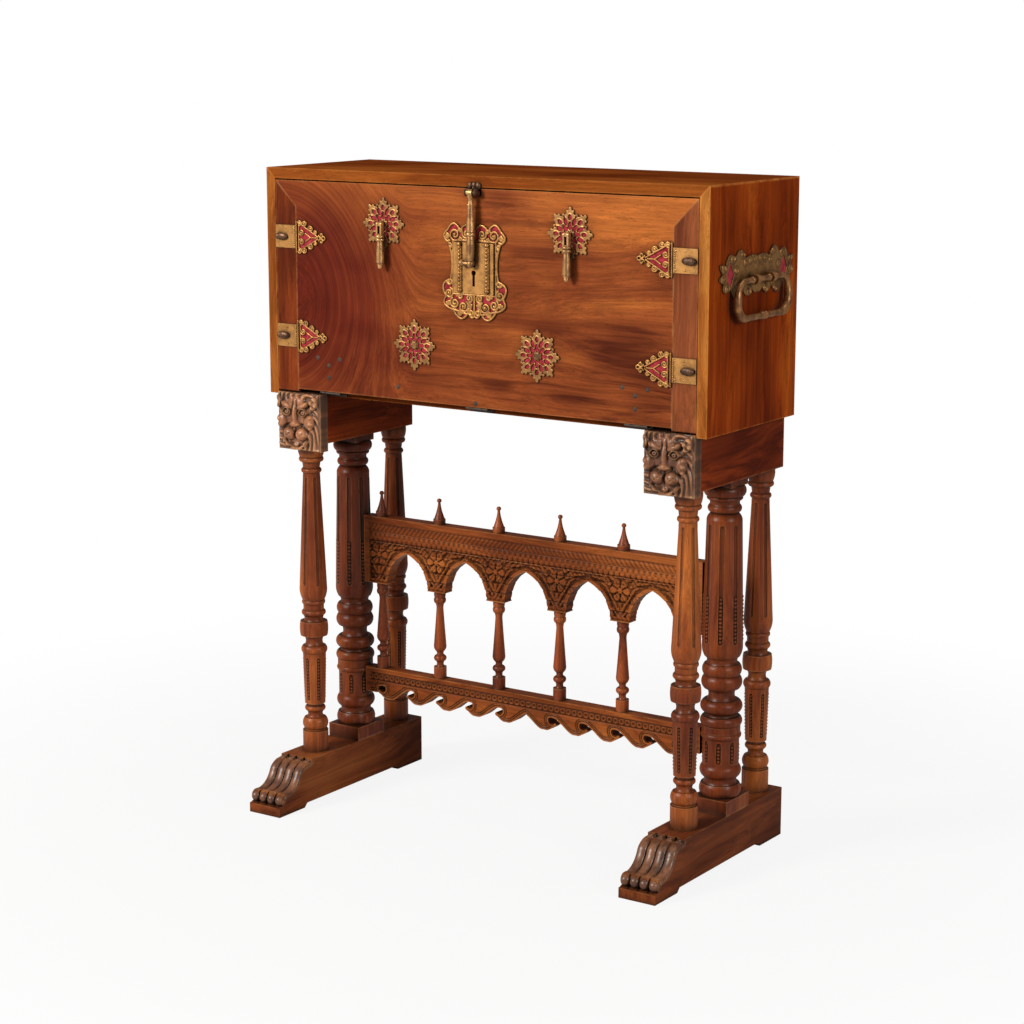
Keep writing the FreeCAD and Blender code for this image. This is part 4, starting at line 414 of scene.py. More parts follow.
# The beams under the case, and the lopers that slide in them: plain dark walnut, the grain from front to
# back. The beams lie on the columns, and the lopers run in grooves.
beam_wood = walnut("beam_walnut", "y", (0.085, 0.012, 0.004), (0.245, 0.038, 0.008), (0.4, 0.085, 0.016),
                   gloss=0.03)
dress(beam_wood, "beam_left", "beam_right", "loper_bar_left", "loper_bar_right")

# The lion heads on the lopers' ends: square blocks of darker walnut, carved across the grain with a mask in
# a mane, and glued to the bars.
# The raised parts turn golden, which is rubbed wear and a painted highlight, and the hollows get painted
# shade
head_wood = walnut("head_walnut", "z", (0.08, 0.024, 0.009), (0.27, 0.096, 0.04), (0.47, 0.19, 0.082),
                   0.2, 0.9, 0.9, (0.68, 0.34, 0.145), edge_reach=0.007, gloss=0.46)
dress(head_wood, "lion_head_left", "lion_head_right")


def dome(u, v, place, reach, tall, tilt=0.0):
    """A rounded boss: tall times the root of 1 less the squared distance in shares of its reach, turned by
    tilt."""
    turn = math.radians(tilt)
    a = (u - place[0]) * math.cos(turn) + (v - place[1]) * math.sin(turn)
    b = (v - place[1]) * math.cos(turn) - (u - place[0]) * math.sin(turn)
    return tall * np.sqrt(np.clip(1.0 - (a / reach[0]) ** 2 - (b / reach[1]) ** 2, 0.0, 1.0))


def away(u, v, line):
    """How far each point is from the nearest of a line's points."""
    return np.sqrt(np.min((u[..., None] - line[:, 0]) ** 2 + (v[..., None] - line[:, 1]) ** 2, axis=-1))


def hollows(height, reach=5):
    """How far each place lies below the mean of the square of places round it."""
    mean = height
    for axis in (0, 1):
        steps = [np.roll(mean, step, axis) for step in range(-reach, reach + 1)]
        mean = np.mean(steps, axis=0)
    return mean - height


def lion(u, v):
    """A lion's mask as a height from 0 to 1: bosses for brows, nose, cheeks, muzzle and chin are blended as
    the eighth root of the sum of their eighth powers, and hollows that fall off as a bell are taken away."""
    mid = -0.13
    around = np.arctan2(v - 0.02, u - mid)
    out = np.hypot((u - mid) / 0.8, (v - 0.05) / 0.93)
    bosses = [dome(u, v, (mid, 0.0), (0.8, 1.0), 0.34), dome(u, v, (mid, 0.64), (0.5, 0.26), 0.54)]
    for side in (-1, 1):
        bosses += [
            dome(u, v, (mid + 0.36 * side, 0.555), (0.32, 0.125), 0.84, 20 * side),
            dome(u, v, (mid + 0.385 * side, 0.325), (0.15, 0.105), 0.66),
            dome(u, v, (mid + 0.62 * side, 0.0), (0.25, 0.3), 0.72, -14 * side),
            dome(u, v, (mid + 0.165 * side, -0.13), (0.125, 0.105), 0.94),
            dome(u, v, (mid + 0.29 * side, -0.42), (0.3, 0.245), 1.0, 12 * side),
            dome(u, v, (mid + 0.86 * side, 0.68), (0.18, 0.24), 0.8, -24 * side),
        ]
    bosses += [dome(u, v, (mid, 0.26), (0.145, 0.42), 0.86), dome(u, v, (mid, -0.07), (0.22, 0.155), 1.04),
               dome(u, v, (mid, -0.97), (0.34, 0.12), 0.56)]
    t = np.linspace(-1.0, 1.0, 41)
    lip = np.stack([mid + 0.5 * t, -0.7 - 0.18 * (1 - t ** 2)], axis=-1)
    bosses.append(0.74 * np.exp(-(away(u, v, lip) / 0.075) ** 2))
    for side in (-1, 1):
        for place, bend, tall in ((0.325, 0.145, 0.8), (0.325, -0.115, 0.7)):
            lid = np.stack([mid + (0.385 + 0.19 * t) * side, place + bend * (1 - t ** 2)], axis=-1)
            bosses.append(tall * np.exp(-(away(u, v, lid) / 0.036) ** 2))
    height = np.sum(np.stack(bosses) ** 8, axis=0) ** (1 / 8)
    locks = 0.5 + 0.5 * np.cos(20 * around + 5.0 * np.sin(5 * out))
    mane = np.clip((out - 0.8) / 0.14, 0.0, 1.0)
    height += mane * (0.34 * locks ** 0.7 - 0.1)
    for side in (-1, 1):
        pupil = np.hypot(u - mid - 0.385 * side, v - 0.325)
        height -= 0.26 * np.exp(-(pupil / 0.04) ** 2)
        height -= 0.46 * np.exp(-((u - mid - 0.185 * side) / 0.065) ** 2 - ((v + 0.165) / 0.045) ** 2)
        ear = np.hypot((u - mid - 0.86 * side) / 0.09, (v - 0.66) / 0.13)
        height -= 0.52 * np.exp(-ear ** 2)
        fold = np.stack([mid + side * (0.26 + 0.34 * (t + 1) / 2), -0.1 - 0.2 * (t + 1) ** 2 / 4], axis=-1)
        height -= 0.26 * np.exp(-(away(u, v, fold) / 0.05) ** 2)
        for row in range(3):
            dots = np.hypot(u - mid - side * (0.2 + 0.11 * row), v + 0.4 + 0.06 * (row % 2))
            height -= 0.18 * np.exp(-(dots / 0.026) ** 2)
    frown = np.abs(u - mid)
    height -= 0.22 * np.exp(-((frown - 0.085) / 0.035) ** 2 - ((v - 0.62) / 0.15) ** 2)
    height -= 0.34 * np.exp(-(frown / 0.035) ** 2 - ((v + 0.42) / 0.2) ** 2)
    gape = 0.16 * (1 - ((u - mid) / 0.44) ** 2)
    mouth = np.exp(-((u - mid) / 0.42) ** 4 - ((v + 0.68 + gape) / 0.095) ** 2)
    height = height * (1 - mouth) + mouth * dome(u, v, (mid, -0.8), (0.14, 0.09), 0.4)
    plain = np.clip((u - 0.88) / 0.04, 0.0, 1.0)
    height *= 1 - plain
    edge = np.minimum(1.0 - np.abs(u), 1.0 - np.abs(v))
    return np.clip(height, 0.0, 1.0) * np.clip(edge / 0.05, 0.0, 1.0) ** 0.5


def grid(across, up, counts):
    """Even steps between two ends across and up, and both coordinates of every crossing."""
    u, v = np.linspace(*across, counts[0]), np.linspace(*up, counts[1])
    return (u, v, *np.meshgrid(u, v, indexing="ij"))


def carved(u, v, depth, front, back, hollow_shade=0.0):
    """A pierced board over a grid, its front and back given as places along Y. Cells that touch metal or wood
    are kept, where depth, in metres inside the nearest edge, is above nought. A kept corner that lies outside
    slides up the slope of depth onto the edge, by the depth over the squared slope. Walls close it."""
    wide, tall = np.meshgrid(u, v, indexing="ij")
    slope_u, slope_v = np.gradient(depth, u, v)
    slide = np.where(depth < 0, -depth / np.maximum(slope_u ** 2 + slope_v ** 2, 0.3), 0.0)
    slide = np.minimum(slide, 1.4 * (u[1] - u[0]))
    wide, tall = wide + slide * slope_u, tall + slide * slope_v
    inside = depth > 0
    kept = inside[:-1, :-1] | inside[1:, :-1] | inside[:-1, 1:] | inside[1:, 1:]
    number = np.arange(wide.size).reshape(wide.shape)
    a, b, c, d = number[:-1, :-1], number[1:, :-1], number[1:, 1:], number[:-1, 1:]
    total = wide.size
    faces = [np.stack([corner[kept] for corner in (a, b, c, d)], axis=-1)]
    faces.append(faces[0][:, ::-1] + total)
    ring = np.pad(kept, 1)
    for beyond, first, last in ((ring[:-2, 1:-1], d, a), (ring[2:, 1:-1], b, c), (ring[1:-1, :-2], a, b),
                                (ring[1:-1, 2:], c, d)):
        open_edge = kept & ~beyond
        p, q = first[open_edge], last[open_edge]
        faces.append(np.stack([q, p, p + total, q + total], axis=-1))
    faces = np.concatenate(faces)
    sheets = [np.stack([wide, np.broadcast_to(place, wide.shape), tall], axis=-1) for place in (front, back)]
    points = np.concatenate(sheets).reshape(-1, 3)
    used, faces = np.unique(faces, return_inverse=True)
    hollow_shade = np.tile(np.broadcast_to(hollow_shade, wide.shape).reshape(-1), 2)
    return points[used], faces.reshape(-1, 4), hollow_shade[used]


HEAD_X, HEAD_Z = 0.42545, 0.7869
u, v, wide, tall = grid((-1.0, 1.0), (-1.0, 1.0), (141, 153))
relief = lion(wide, tall)
# Painted shade: the mask darkens where its relief is low and in the hollows among its bosses
hollow_shade = np.clip(0.62 - 1.5 * relief + 4.5 * hollows(relief), 0.0, 0.92)
for hand, side in SIDES:
    part = carved(HEAD_X * side + 0.05305 * u, HEAD_Z + 0.0576 * v, np.ones(relief.shape),
                  -0.1224 - 0.015 * relief, -0.1004, hollow_shade)
    head = made("lion_mask_" + hand, [part], head_wood, "loper_" + hand, 60.0)
    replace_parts(head, "lion_head_" + hand)

# The stretcher: a rail of pointed arches on turned balusters, carved with rosettes, leaves and rows of
# scales on both faces. Its ends are tenoned into the stout columns, and finials stand on it.
rail_wood = walnut("rail_walnut", "x", (0.095, 0.018, 0.005), (0.26, 0.064, 0.014), (0.43, 0.128, 0.028),
                   0.2, 0.95, 0.72, (0.46, 0.175, 0.05))
dress(rail_wood, "arcade_rail", "bottom_rail")
dress(baluster_wood, "balusters", "finials")


def within(outline, wide, tall):
    """Metres inside a closed outline: the distance to its nearest side, below nought where a ray to the right
    crosses the outline an even number of times."""
    ends = np.roll(outline, -1, axis=0)
    nearest = np.full(wide.shape, 1.0)
    odd = np.zeros(wide.shape, dtype=bool)
    for start, end in zip(outline, ends):
        run = end - start
        share = ((wide - start[0]) * run[0] + (tall - start[1]) * run[1]) / max(run @ run, 1e-12)
        share = np.clip(share, 0.0, 1.0)
        gap = np.hypot(wide - start[0] - share * run[0], tall - start[1] - share * run[1])
        nearest = np.minimum(nearest, gap)
        if run[1] != 0.0:
            cross = start[0] + (tall - start[1]) / run[1] * run[0]
            odd ^= ((start[1] > tall) != (end[1] > tall)) & (wide < cross)
    return np.where(odd, nearest, -nearest)


def eased(value, low, high):
    """A smooth step from 0 to 1: 3 t t - 2 t t t."""
    t = np.clip((value - low) / (high - low), 0.0, 1.0)
    return t * t * (3 - 2 * t)


def bell(value, middle, width):
    """A bell curve of height 1."""
    return np.exp(-((value - middle) / width) ** 2)


def railed(depth, sunk, most, share):
    """A rail carved alike on both faces. Hollows are shaded by a share of how deep they are sunk, up to
    most."""
    shade = np.clip(share * sunk + 420 * hollows(-sunk, 3), 0.0, most)
    return carved(x, z, depth, RAIL_Y[0] + sunk, RAIL_Y[1] - sunk, shade)


PITCH = 0.1455
ARCH_HALF = 0.05175
RAIL_LOW = 0.4322
RAIL_Y = (0.048, 0.076)
# The rail's ends go into the columns from here on, and stay uncarved
RAIL_CLEAR = 0.388
arch_side = through([(ARCH_HALF, 0.0), ((0.03747, 0.04388), (0.0, 0.071))], 14) + (0.0, RAIL_LOW)
arch = np.concatenate([arch_side, (arch_side * (-1, 1))[::-1],
                       [(-ARCH_HALF, RAIL_LOW - 0.02), (ARCH_HALF, RAIL_LOW - 0.02)]])
x, z, wide, tall = grid((-0.4, 0.4), (RAIL_LOW, 0.5719), (521, 92))
from_arch = wide - PITCH * np.clip(np.round(wide / PITCH), -2, 2)
depth = -within(arch, from_arch, tall)
hand_x = wide - PITCH * (np.clip(np.floor(wide / PITCH), -3, 2) + 0.5)
a, b = np.abs(hand_x), tall - 0.493
out, turn = np.hypot(hand_x, b), np.arctan2(b, hand_x)
lobe = np.abs(np.cos(3 * turn))
tip = 0.017 + 0.0072 * lobe ** 0.55
petals = 0.0034 * (0.62 + 0.38 * lobe ** 0.6) * (1 - eased(out, tip - 0.0034, tip))
petals -= 0.0024 * bell(lobe * out, 0.0, 0.0034) * (out < 0.0235)
petals -= 0.0009 * bell(np.sin(3 * turn) * out, 0.0, 0.0021) * (out > 0.008) * (out < 0.019)
flower = np.maximum(petals, 0.0034 * np.sqrt(np.clip(1 - (out / 0.0058) ** 2, 0, 1)))
flower -= 0.0014 * bell(out, 0.0068, 0.0011)
leaves = np.zeros(a.shape)
for line, girth in ((((0.0, 0.444), (0.0, 0.468)), 0.0046), (((0.0, 0.446), (0.013, 0.47)), 0.0036),
                    (((0.003, 0.44), (0.016, 0.456)), 0.0032), (((0.022, 0.503), (0.043, 0.512)), 0.0042),
                    (((0.026, 0.509), (0.036, 0.5165)), 0.0032), (((0.019, 0.48), (0.029, 0.494)), 0.0036),
                    (((0.043, 0.511), (0.062, 0.5145)), 0.003), (((0.008, 0.512), (0.022, 0.5165)), 0.0036),
                    (((0.031, 0.498), (0.04, 0.503)), 0.003), (((0.01, 0.466), (0.018, 0.476)), 0.003)):
    spine = np.linspace(line[0], line[1], 16)
    gap = away(a, tall, spine)
    leaf = (out > 0.0225) * 0.003 * (1 - eased(gap, girth * 0.35, girth * 1.25))
    leaves = np.maximum(leaves, leaf - 0.0012 * bell(gap, 0, 0.0007))
field = eased(depth, 0.0068, 0.0082) * eased(tall, 0.441, 0.4424) * (1 - eased(tall, 0.5172, 0.5186))
field *= 1 - eased(np.abs(wide), 0.386, 0.3874)
sunk = field * (0.0046 - 1.35 * np.clip(np.maximum(flower, leaves), 0.0, 0.0033))
slant = np.cos(math.pi * (np.abs(wide) + 0.8 * (tall - 0.549)) / 0.0108)
leaf_row = np.clip(np.sin(math.pi * (tall - 0.5402) / 0.0176), 0.0, 1.0)
sunk += 0.003 * (leaf_row > 0) * (1 - np.abs(slant) ** 0.6 * leaf_row ** 0.5)
scales = np.zeros(wide.shape)
for row in (0, 1):
    step = (np.abs(wide) / 0.0124 + 0.5 * row) % 1.0 - 0.5
    over = (tall - 0.5335 + 0.0072 * row) / 0.006
    scales = np.maximum(scales, np.clip(1 - (step / 0.5) ** 2 - over ** 2, 0, 1))
scale_row = (tall > 0.5208) & (tall < 0.5392)
sunk += scale_row * 0.003 * (1 - scales ** 0.5)
for rise in (0.5196, 0.5397, 0.5584):
    sunk += 0.0014 * bell(tall, rise, 0.0009)
sunk *= np.abs(wide) < RAIL_CLEAR
arcade = made("arcade_carving", [railed(depth, sunk, 0.72, 100.0)], rail_wood, "case_and_stand",
              50.0)
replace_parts(arcade, "arcade_rail")

# The waved rail: walnut carved on both faces with a run of rings over a running wave that leans away from
# the middle. Its ends are tenoned into the stout columns.
WAVE_HALF = 0.3677
CREST = 0.2194
wave = through([(0.0, 0.2), ((0.15, 0.46), (0.32, 0.8)), ((0.62, 1.12), (0.9, 0.8)),
                ((0.99, 0.66), (0.97, 0.5)), ((0.84, 0.66), (0.74, 0.46)), ((0.78, 0.16), (1.0, 0.2))], 8)
wave = wave[:-1] * (WAVE_HALF / 5, -0.029)
half = np.concatenate([wave + (WAVE_HALF / 5 * step, CREST) for step in range(5)] + [
    [(WAVE_HALF, CREST - 0.0075), (WAVE_HALF + 0.002, 0.1991), (0.42, 0.1991), (0.42, 0.2514)]])
edge = np.concatenate([half, (half * (-1, 1))[:0:-1]])
x, z, wide, tall = grid((-0.4, 0.4), (0.188, 0.2514), (621, 51))
depth = within(edge, wide, tall)
ring = np.hypot((np.abs(wide) / 0.0136 % 1.0 - 0.5) * 0.0136, tall - 0.233)
ring_row = (tall > 0.2255) & (tall < 0.2405)
sunk = ring_row * 0.0022 * (1 - bell(ring, 0.0046, 0.0017))
for rise in (0.2252, 0.2408):
    sunk += 0.0011 * bell(tall, rise, 0.0008)
below = 1 - eased(tall, 0.2215, 0.2235)
sunk += below * 0.0022 * (bell(depth, 0.0042, 0.001) + bell(depth, 0.008, 0.001))
sunk *= np.abs(wide) < RAIL_CLEAR
waved = made("waved_carving", [railed(depth, sunk, 0.8, 0.5 / 0.0022)], rail_wood, "case_and_stand",
             50.0)
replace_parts(waved, "bottom_rail")

# The case: five walnut boards, mitred at the corners and glued. The sides' grain stands upright, and their
# front edges are paler than their faces.
case_wood = walnut("case_walnut", "x", (0.085, 0.015, 0.003), (0.19, 0.042, 0.008), (0.29, 0.078, 0.014),
                   0.2, 0.7, 0.7, (0.44, 0.16, 0.035), gloss=0.0, front=(0.95, 0.95, 0.95))
side_wood = walnut("side_walnut", "z", (0.105, 0.012, 0.001), (0.255, 0.038, 0.003), (0.43, 0.095, 0.009),
                   0.2, 0.7, 0.7, (0.54, 0.19, 0.04), gloss=0.03, front=(1.5, 3.3, 7.5))
dress(case_wood, "case_top", "case_bottom", "case_back")
dress(side_wood, "case_side_left", "case_side_right")

# The inside: drawers and a cupboard door of plain paler wood, between thin partitions. Half-round mouldings
# are mitred round the fronts and glued on.
inner_wood = walnut("inner_walnut", "x", (0.13, 0.04, 0.012), (0.3, 0.105, 0.03), (0.45, 0.19, 0.062),
                    0.35)
dress(inner_wood, "drawer_partitions", "drawers_left_bank", "drawers_right_bank", "centre_drawers",
      "cupboard_door")
DRAWER_Y = -0.078


def looped(path, radii, across, around=16):
    """A bar along a closed path: rings of a cos(t) times across and b sin(t) times its cross product with the
    path's direction, the last joined to the first."""
    ahead = np.roll(path, -1, axis=0) - np.roll(path, 1, axis=0)
    ahead /= np.linalg.norm(ahead, axis=1)[:, None]
    rise = np.cross(ahead, across)
    angle = np.linspace(0.0, 2 * math.pi, around, endpoint=False)
    rings = (path[:, None] + (radii[0][:, None] * np.cos(angle))[..., None] * np.array(across, dtype=float)
             + (radii[1][:, None] * np.sin(angle))[..., None] * rise[:, None])
    return woven(np.concatenate([rings, rings[:1]]))


def mitred(place, rise, half_wide, half_tall, inset, thick):
    """A half-round moulding round a drawer front, its four corners mitred and set in from the edges."""
    wide, tall = half_wide - inset, half_tall - inset
    corners = np.array([(-wide, 0, -tall), (wide, 0, -tall), (wide, 0, tall), (-wide, 0, tall)])
    proud, across = np.full(4, thick[0]), np.full(4, thick[1] * math.sqrt(2))
    return looped(corners + (place, DRAWER_Y, rise), (proud, across), (0, 1, 0), 12)


frames = []
for rise in (0.925, 1.0629, 1.2007):
    for place in (-0.4025, -0.2405, 0.0, 0.2405, 0.4025):
        half_wide = 0.0757 if place else 0.1542
        for inset, thick in ((0.0058, (0.0026, 0.003)), (0.0105, (0.0012, 0.0011))):
            frames.append(mitred(place, rise, half_wide, 0.0636, inset, thick))
made("drawer_mouldings", frames, case_wood, "case_and_stand")

# The fall: a walnut panel jointed between two stiles. The panel's figure turns about a knot at its left, and
# smoky patches darken it. The whole turns on iron hinges at its lower edge.
panel_wood = walnut("panel_walnut", "x", (0.066, 0.01, 0.004), (0.235, 0.054, 0.014), (0.45, 0.128, 0.026),
                    0.14, 0.7, 0.5, gloss=0.05)


def distance(tree, place, scale):
    """The way from a place, and its length with each axis scaled."""
    off = vectors(tree, "SUBTRACT", tree.nodes["Texture Coordinate"].outputs["Object"], place)
    length = node(tree, "VectorMath", {0: vectors(tree, "MULTIPLY", off, scale)}, operation="LENGTH")
    return off, length.outputs["Value"]


def grain_node(tree):
    """The node that draws a material's grain."""
    return next(item for item in tree.nodes if item.type == "GROUP" and item.node_tree == grain)


def smoked(tree, place, scale, reach, share, middle, light):
    """Darker tones round a place in the grain: they fade out from one reach to the other."""
    cut = grain_node(tree)
    wave = noise(tree, cut.inputs["Patches"].links[0].from_socket, 9.0, 3.0)
    wave = sums(tree, "MULTIPLY", sums(tree, "SUBTRACT", wave, 0.5), 0.16)
    fade = span(tree, sums(tree, "ADD", distance(tree, place, scale)[1], wave), *reach, share, 0.0)
    for key, tone in (("Middle", middle), ("Light", light)):
        given = cut.inputs[key]
        old = given.links[0].from_socket if given.links else tuple(given.default_value)
        fill(tree, cut, {key: mixed(tree, fade, old, solid(tone))})


def crotch_figure(tree, knot, reach):
    """Turn a panel's figure into arcs about a knot: near it, the way along the grain is the cosine of the
    angle round it and the way across is the distance from it. Farther off the grain runs straight again."""
    off, far = distance(tree, knot, (1.0, 0.0, 0.86))
    turn = sums(tree, "DIVIDE", node(tree, "SeparateXYZ", {0: off}).outputs["Z"], far)
    arcs = node(tree, "CombineXYZ", {0: sums(tree, "MULTIPLY", turn, 0.1),
                                     1: sums(tree, "MULTIPLY", far, 0.9)})
    share = span(tree, far, *reach, 0.75, 0.0, "SMOOTHERSTEP")
    cut = grain_node(tree)
    turned = cut.inputs["Vector"].links[0].from_socket
    fill(tree, cut, {"Vector": mixed(tree, share, turned, arcs.outputs["Vector"])})


KNOT = (-0.465, 0.0, 1.05)
figured = panel_wood.node_tree
crotch_figure(figured, KNOT, (0.05, 0.36))
smoked(figured, KNOT, (1.0, 0.0, 1.45), (0.2, 0.48), 0.97, (0.105, 0.012, 0.006), (0.165, 0.027, 0.009))
smoked(figured, (0.06, 0.0, 1.06), (0.5, 0.0, 1.25), (0.03, 0.15), 0.8, (0.12, 0.021, 0.007),
       (0.18, 0.037, 0.011))
stile_wood = walnut("stile_walnut", "z", (0.08, 0.012, 0.003), (0.175, 0.03, 0.006), (0.27, 0.058, 0.012))
pale_stile = walnut("pale_stile_walnut", "z", (0.11, 0.022, 0.008), (0.235, 0.062, 0.021),
                    (0.37, 0.112, 0.03))
dress(panel_wood, "fall_panel")
dress(stile_wood, "fall_stile_left")
dress(pale_stile, "fall_stile_right")


# The metal of the mounts: gilt and brass rubbed bright on their edges, bronze and dark iron. It is cut, filed
# and chased, and worn in patches. The rubbed edges also carry a painted highlight, and a painted shade
# darkens the hollows.


def metal(name, bright, dull, rough=0.4, metallic=0.78, grit=60.0):
    """Old metal: bright where it is rubbed, which is wear and a painted highlight, darkened in the hollows by
    a painted shade, and dull in patches.
    """
    material, tree, shader = fresh(name)
    place = node(tree, "TexCoord").outputs["Object"]
    patchy = noise(tree, place, grit, 5.0, 0.65)
    # The hollows darken towards a painted shade colour, and rubbed edges brighten, which is also a painted
    # highlight
    age = node(tree, "Group", {
        "Color": mixed(tree, span(tree, patchy, 0.38, 0.62), solid(dull), solid(bright)),
        "Dirt": solid(0.25 * part for part in dull),
        "Rubbed": solid(min(1.0, 1.35 * part) for part in bright)}, node_tree=wear_and_shade)
    rise = node(tree, "Bump", {"Strength": 0.2, "Distance": 0.0005,
                               "Height": noise(tree, place, grit * 8, 4.0, 0.6)})
    fill(tree, shader, {"Base Color": age.outputs["Color"], "Metallic": metallic,
                        "Roughness": span(tree, patchy, 0.3, 0.7, rough + 0.15, rough),
                        "Normal": rise.outputs["Normal"]})
    return material


gilt = metal("gilt_iron", (0.46, 0.225, 0.062), (0.15, 0.062, 0.022), 0.36, 0.7, 90.0)
aged_gilt = metal("aged_gilt", (0.38, 0.188, 0.058), (0.1, 0.044, 0.018), 0.38, 0.7, 90.0)
brass = metal("worn_brass", (0.56, 0.3, 0.11), (0.205, 0.096, 0.038), 0.3, 0.6)
bronze = metal("old_bronze", (0.46, 0.215, 0.075), (0.17, 0.072, 0.028), 0.28, 0.6)
dark_bronze = metal("dark_bronze", (0.16, 0.08, 0.042), (0.045, 0.024, 0.016), 0.4)
iron = metal("dark_iron", (0.085, 0.058, 0.042), (0.035, 0.022, 0.016), 0.5, 0.4)
dress(gilt, "lock_escutcheon", "lock_plate", "star_mounts", "bolt_plates", "handle_plate_left",
      "handle_plate_right")
dress(brass, "hasp", "hasp_staple")
# Places along Y: the fall's face, and the back and the face of cut metal over the velvet
FRONT, LEAF_BACK, LEAF_FACE = -0.1208, -0.1218, -0.1232
# The fall's half-width without and with its stiles, and the middles of the lock and of the bolts
PANEL_HALF, FALL_HALF = 0.4278, 0.4778
LOCK_Z = 1.108
BOLT_RISES = (1.153, 0.958)

# Eight-pointed stars of gilt iron: eight petal windows about a boss, eight more between their tips, and
# leafy points, cut out and chased. They are nailed to the fall over discs of velvet.


def rounded(depth, edge=0.0015):
    """How far a rounded edge has risen at a depth inside it: the root of t (2 - t), t the depth in edges."""
    t = np.clip(depth / edge, 0.0, 1.0)
    return np.sqrt(t * (2 - t))


def moved(part, shift, across=1.0):
    """A part mirrored across X where asked, and shifted."""
    return (part[0] * (across, 1.0, 1.0) + shift,) + part[1:]


u, v, wide, tall = grid((-0.0525, 0.0525), (-0.0525, 0.0525), (141, 141))
out, turn = np.hypot(wide, tall), np.arctan2(tall, wide)
fold = np.abs((turn + math.pi / 8) % (math.pi / 4) - math.pi / 8)
a, b = out * np.cos(fold), out * np.sin(fold)
gap_a, gap_b = out * np.cos(math.pi / 8 - fold), out * np.sin(math.pi / 8 - fold)


def window(along, over, middle, long, wide_half):
    """Metres, roughly, outside a pointed oval on an axis."""
    return wide_half * (np.hypot((along - middle) / long, over / wide_half) - 1.0)


points = np.max([0.0365 - out, np.minimum(0.0095 - b - 0.66 * (a - 0.035), 0.0485 - a),
                 0.0034 - np.hypot(a - 0.046, b), 0.0028 - np.hypot(a - 0.0405, b - 0.0062),
                 0.0026 - np.hypot(gap_a - 0.0372, gap_b)], axis=0)
star = np.min([points, window(a, b, 0.0152, 0.007, 0.0037), window(gap_a, gap_b, 0.0238, 0.0072, 0.0039),
               window(a, b, 0.0305, 0.0052, 0.0036), window(gap_a, gap_b, 0.0335, 0.002, 0.0016),
               window(gap_a, gap_b, 0.012, 0.0028, 0.0014)], axis=0)
veins = np.max([bell(np.abs(window(a, b, 0.015, 0.0068, 0.0034) - 0.0013), 0, 0.0007),
                bell(np.abs(window(gap_a, gap_b, 0.0235, 0.0066, 0.0033) - 0.0013), 0, 0.0007),
                bell(np.abs(window(a, b, 0.03, 0.0046, 0.003) - 0.0013), 0, 0.0007)], axis=0)
flat_boss = 0.0006 * rounded(star, 0.0013) + 0.0006 * veins
proud = flat_boss + 0.0026 * np.sqrt(np.clip(1 - (out / 0.0085) ** 2, 0, 1))
STARS = ((0.2116, 1.1885), (0.1404, 0.961))
parts = []
for side in (-1, 1):
    for (x, z), rise in zip(STARS, (flat_boss, proud)):
        # Painted shade darkens the star where it stands less proud
        part = carved(u, v, star, LEAF_FACE - rise, LEAF_BACK, np.clip(0.8 - rise / 0.0011, 0.0, 0.7))
        parts.append(moved(part, (x * side, 0.0, z)))
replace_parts(made("star_leafwork", parts, aged_gilt, "fall"), "star_mounts")

# The escutcheon of gilt iron: scrolled leafwork inside a lobed rim, with two rosettes at its head. It is
# cut out, chased and nailed round the lock plate.


def scroll(place, radius, start, turns=1.25):
    """A spiral: its radius shrinks evenly from full to a fifth as it turns from its start, the other way for
    turns below nought."""
    t = np.linspace(0.0, 1.0, int(44 * abs(turns)))
    angle = math.radians(start) + 2 * math.pi * turns * t
    reach = radius * (1 - 0.8 * t)
    return np.stack([place[0] + reach * np.cos(angle), place[1] + reach * np.sin(angle)], axis=-1)


def near(curves, u, v, reach=0.006):
    """Metres to the nearest point of some curves, up to a reach, over the grid of u and v."""
    gap = np.full((len(u), len(v)), reach)
    for curve in curves:
        a, b = np.searchsorted(u, (curve[:, 0].min() - reach, curve[:, 0].max() + reach))
        c, d = np.searchsorted(v, (curve[:, 1].min() - reach, curve[:, 1].max() + reach))
        if a < b and c < d:
            off = np.hypot(u[a:b, None, None] - curve[:, 0], v[None, c:d, None] - curve[:, 1]).min(axis=2)
            gap[a:b, c:d] = np.minimum(gap[a:b, c:d], off)
    return gap


def doubled(curves):
    """Curves and their mirror images about the upright middle line."""
    return curves + [curve * (-1, 1) for curve in curves]


def straight(start, end):
    """A straight run of close points."""
    return np.linspace(start, end, 2 + int(math.dist(start, end) / 0.0012))


def closed(half):
    """A closed outline from its right half, which begins and ends on the middle line."""
    return np.concatenate([half, (half * (-1, 1))[-2:0:-1]])


def leafwork(u, v, depth, crown=0.0012, flat=0.0):
    """Cut and chased metal: its face stands proud by the crown, rounded at its edges, but for the share that
    lies flat. Where it stands less proud, a painted shade darkens it."""
    proud = rounded(depth) * (1 - flat)
    return carved(u, v, depth, LEAF_FACE - crown * proud, LEAF_BACK, np.clip(0.85 - proud, 0.0, 0.85))


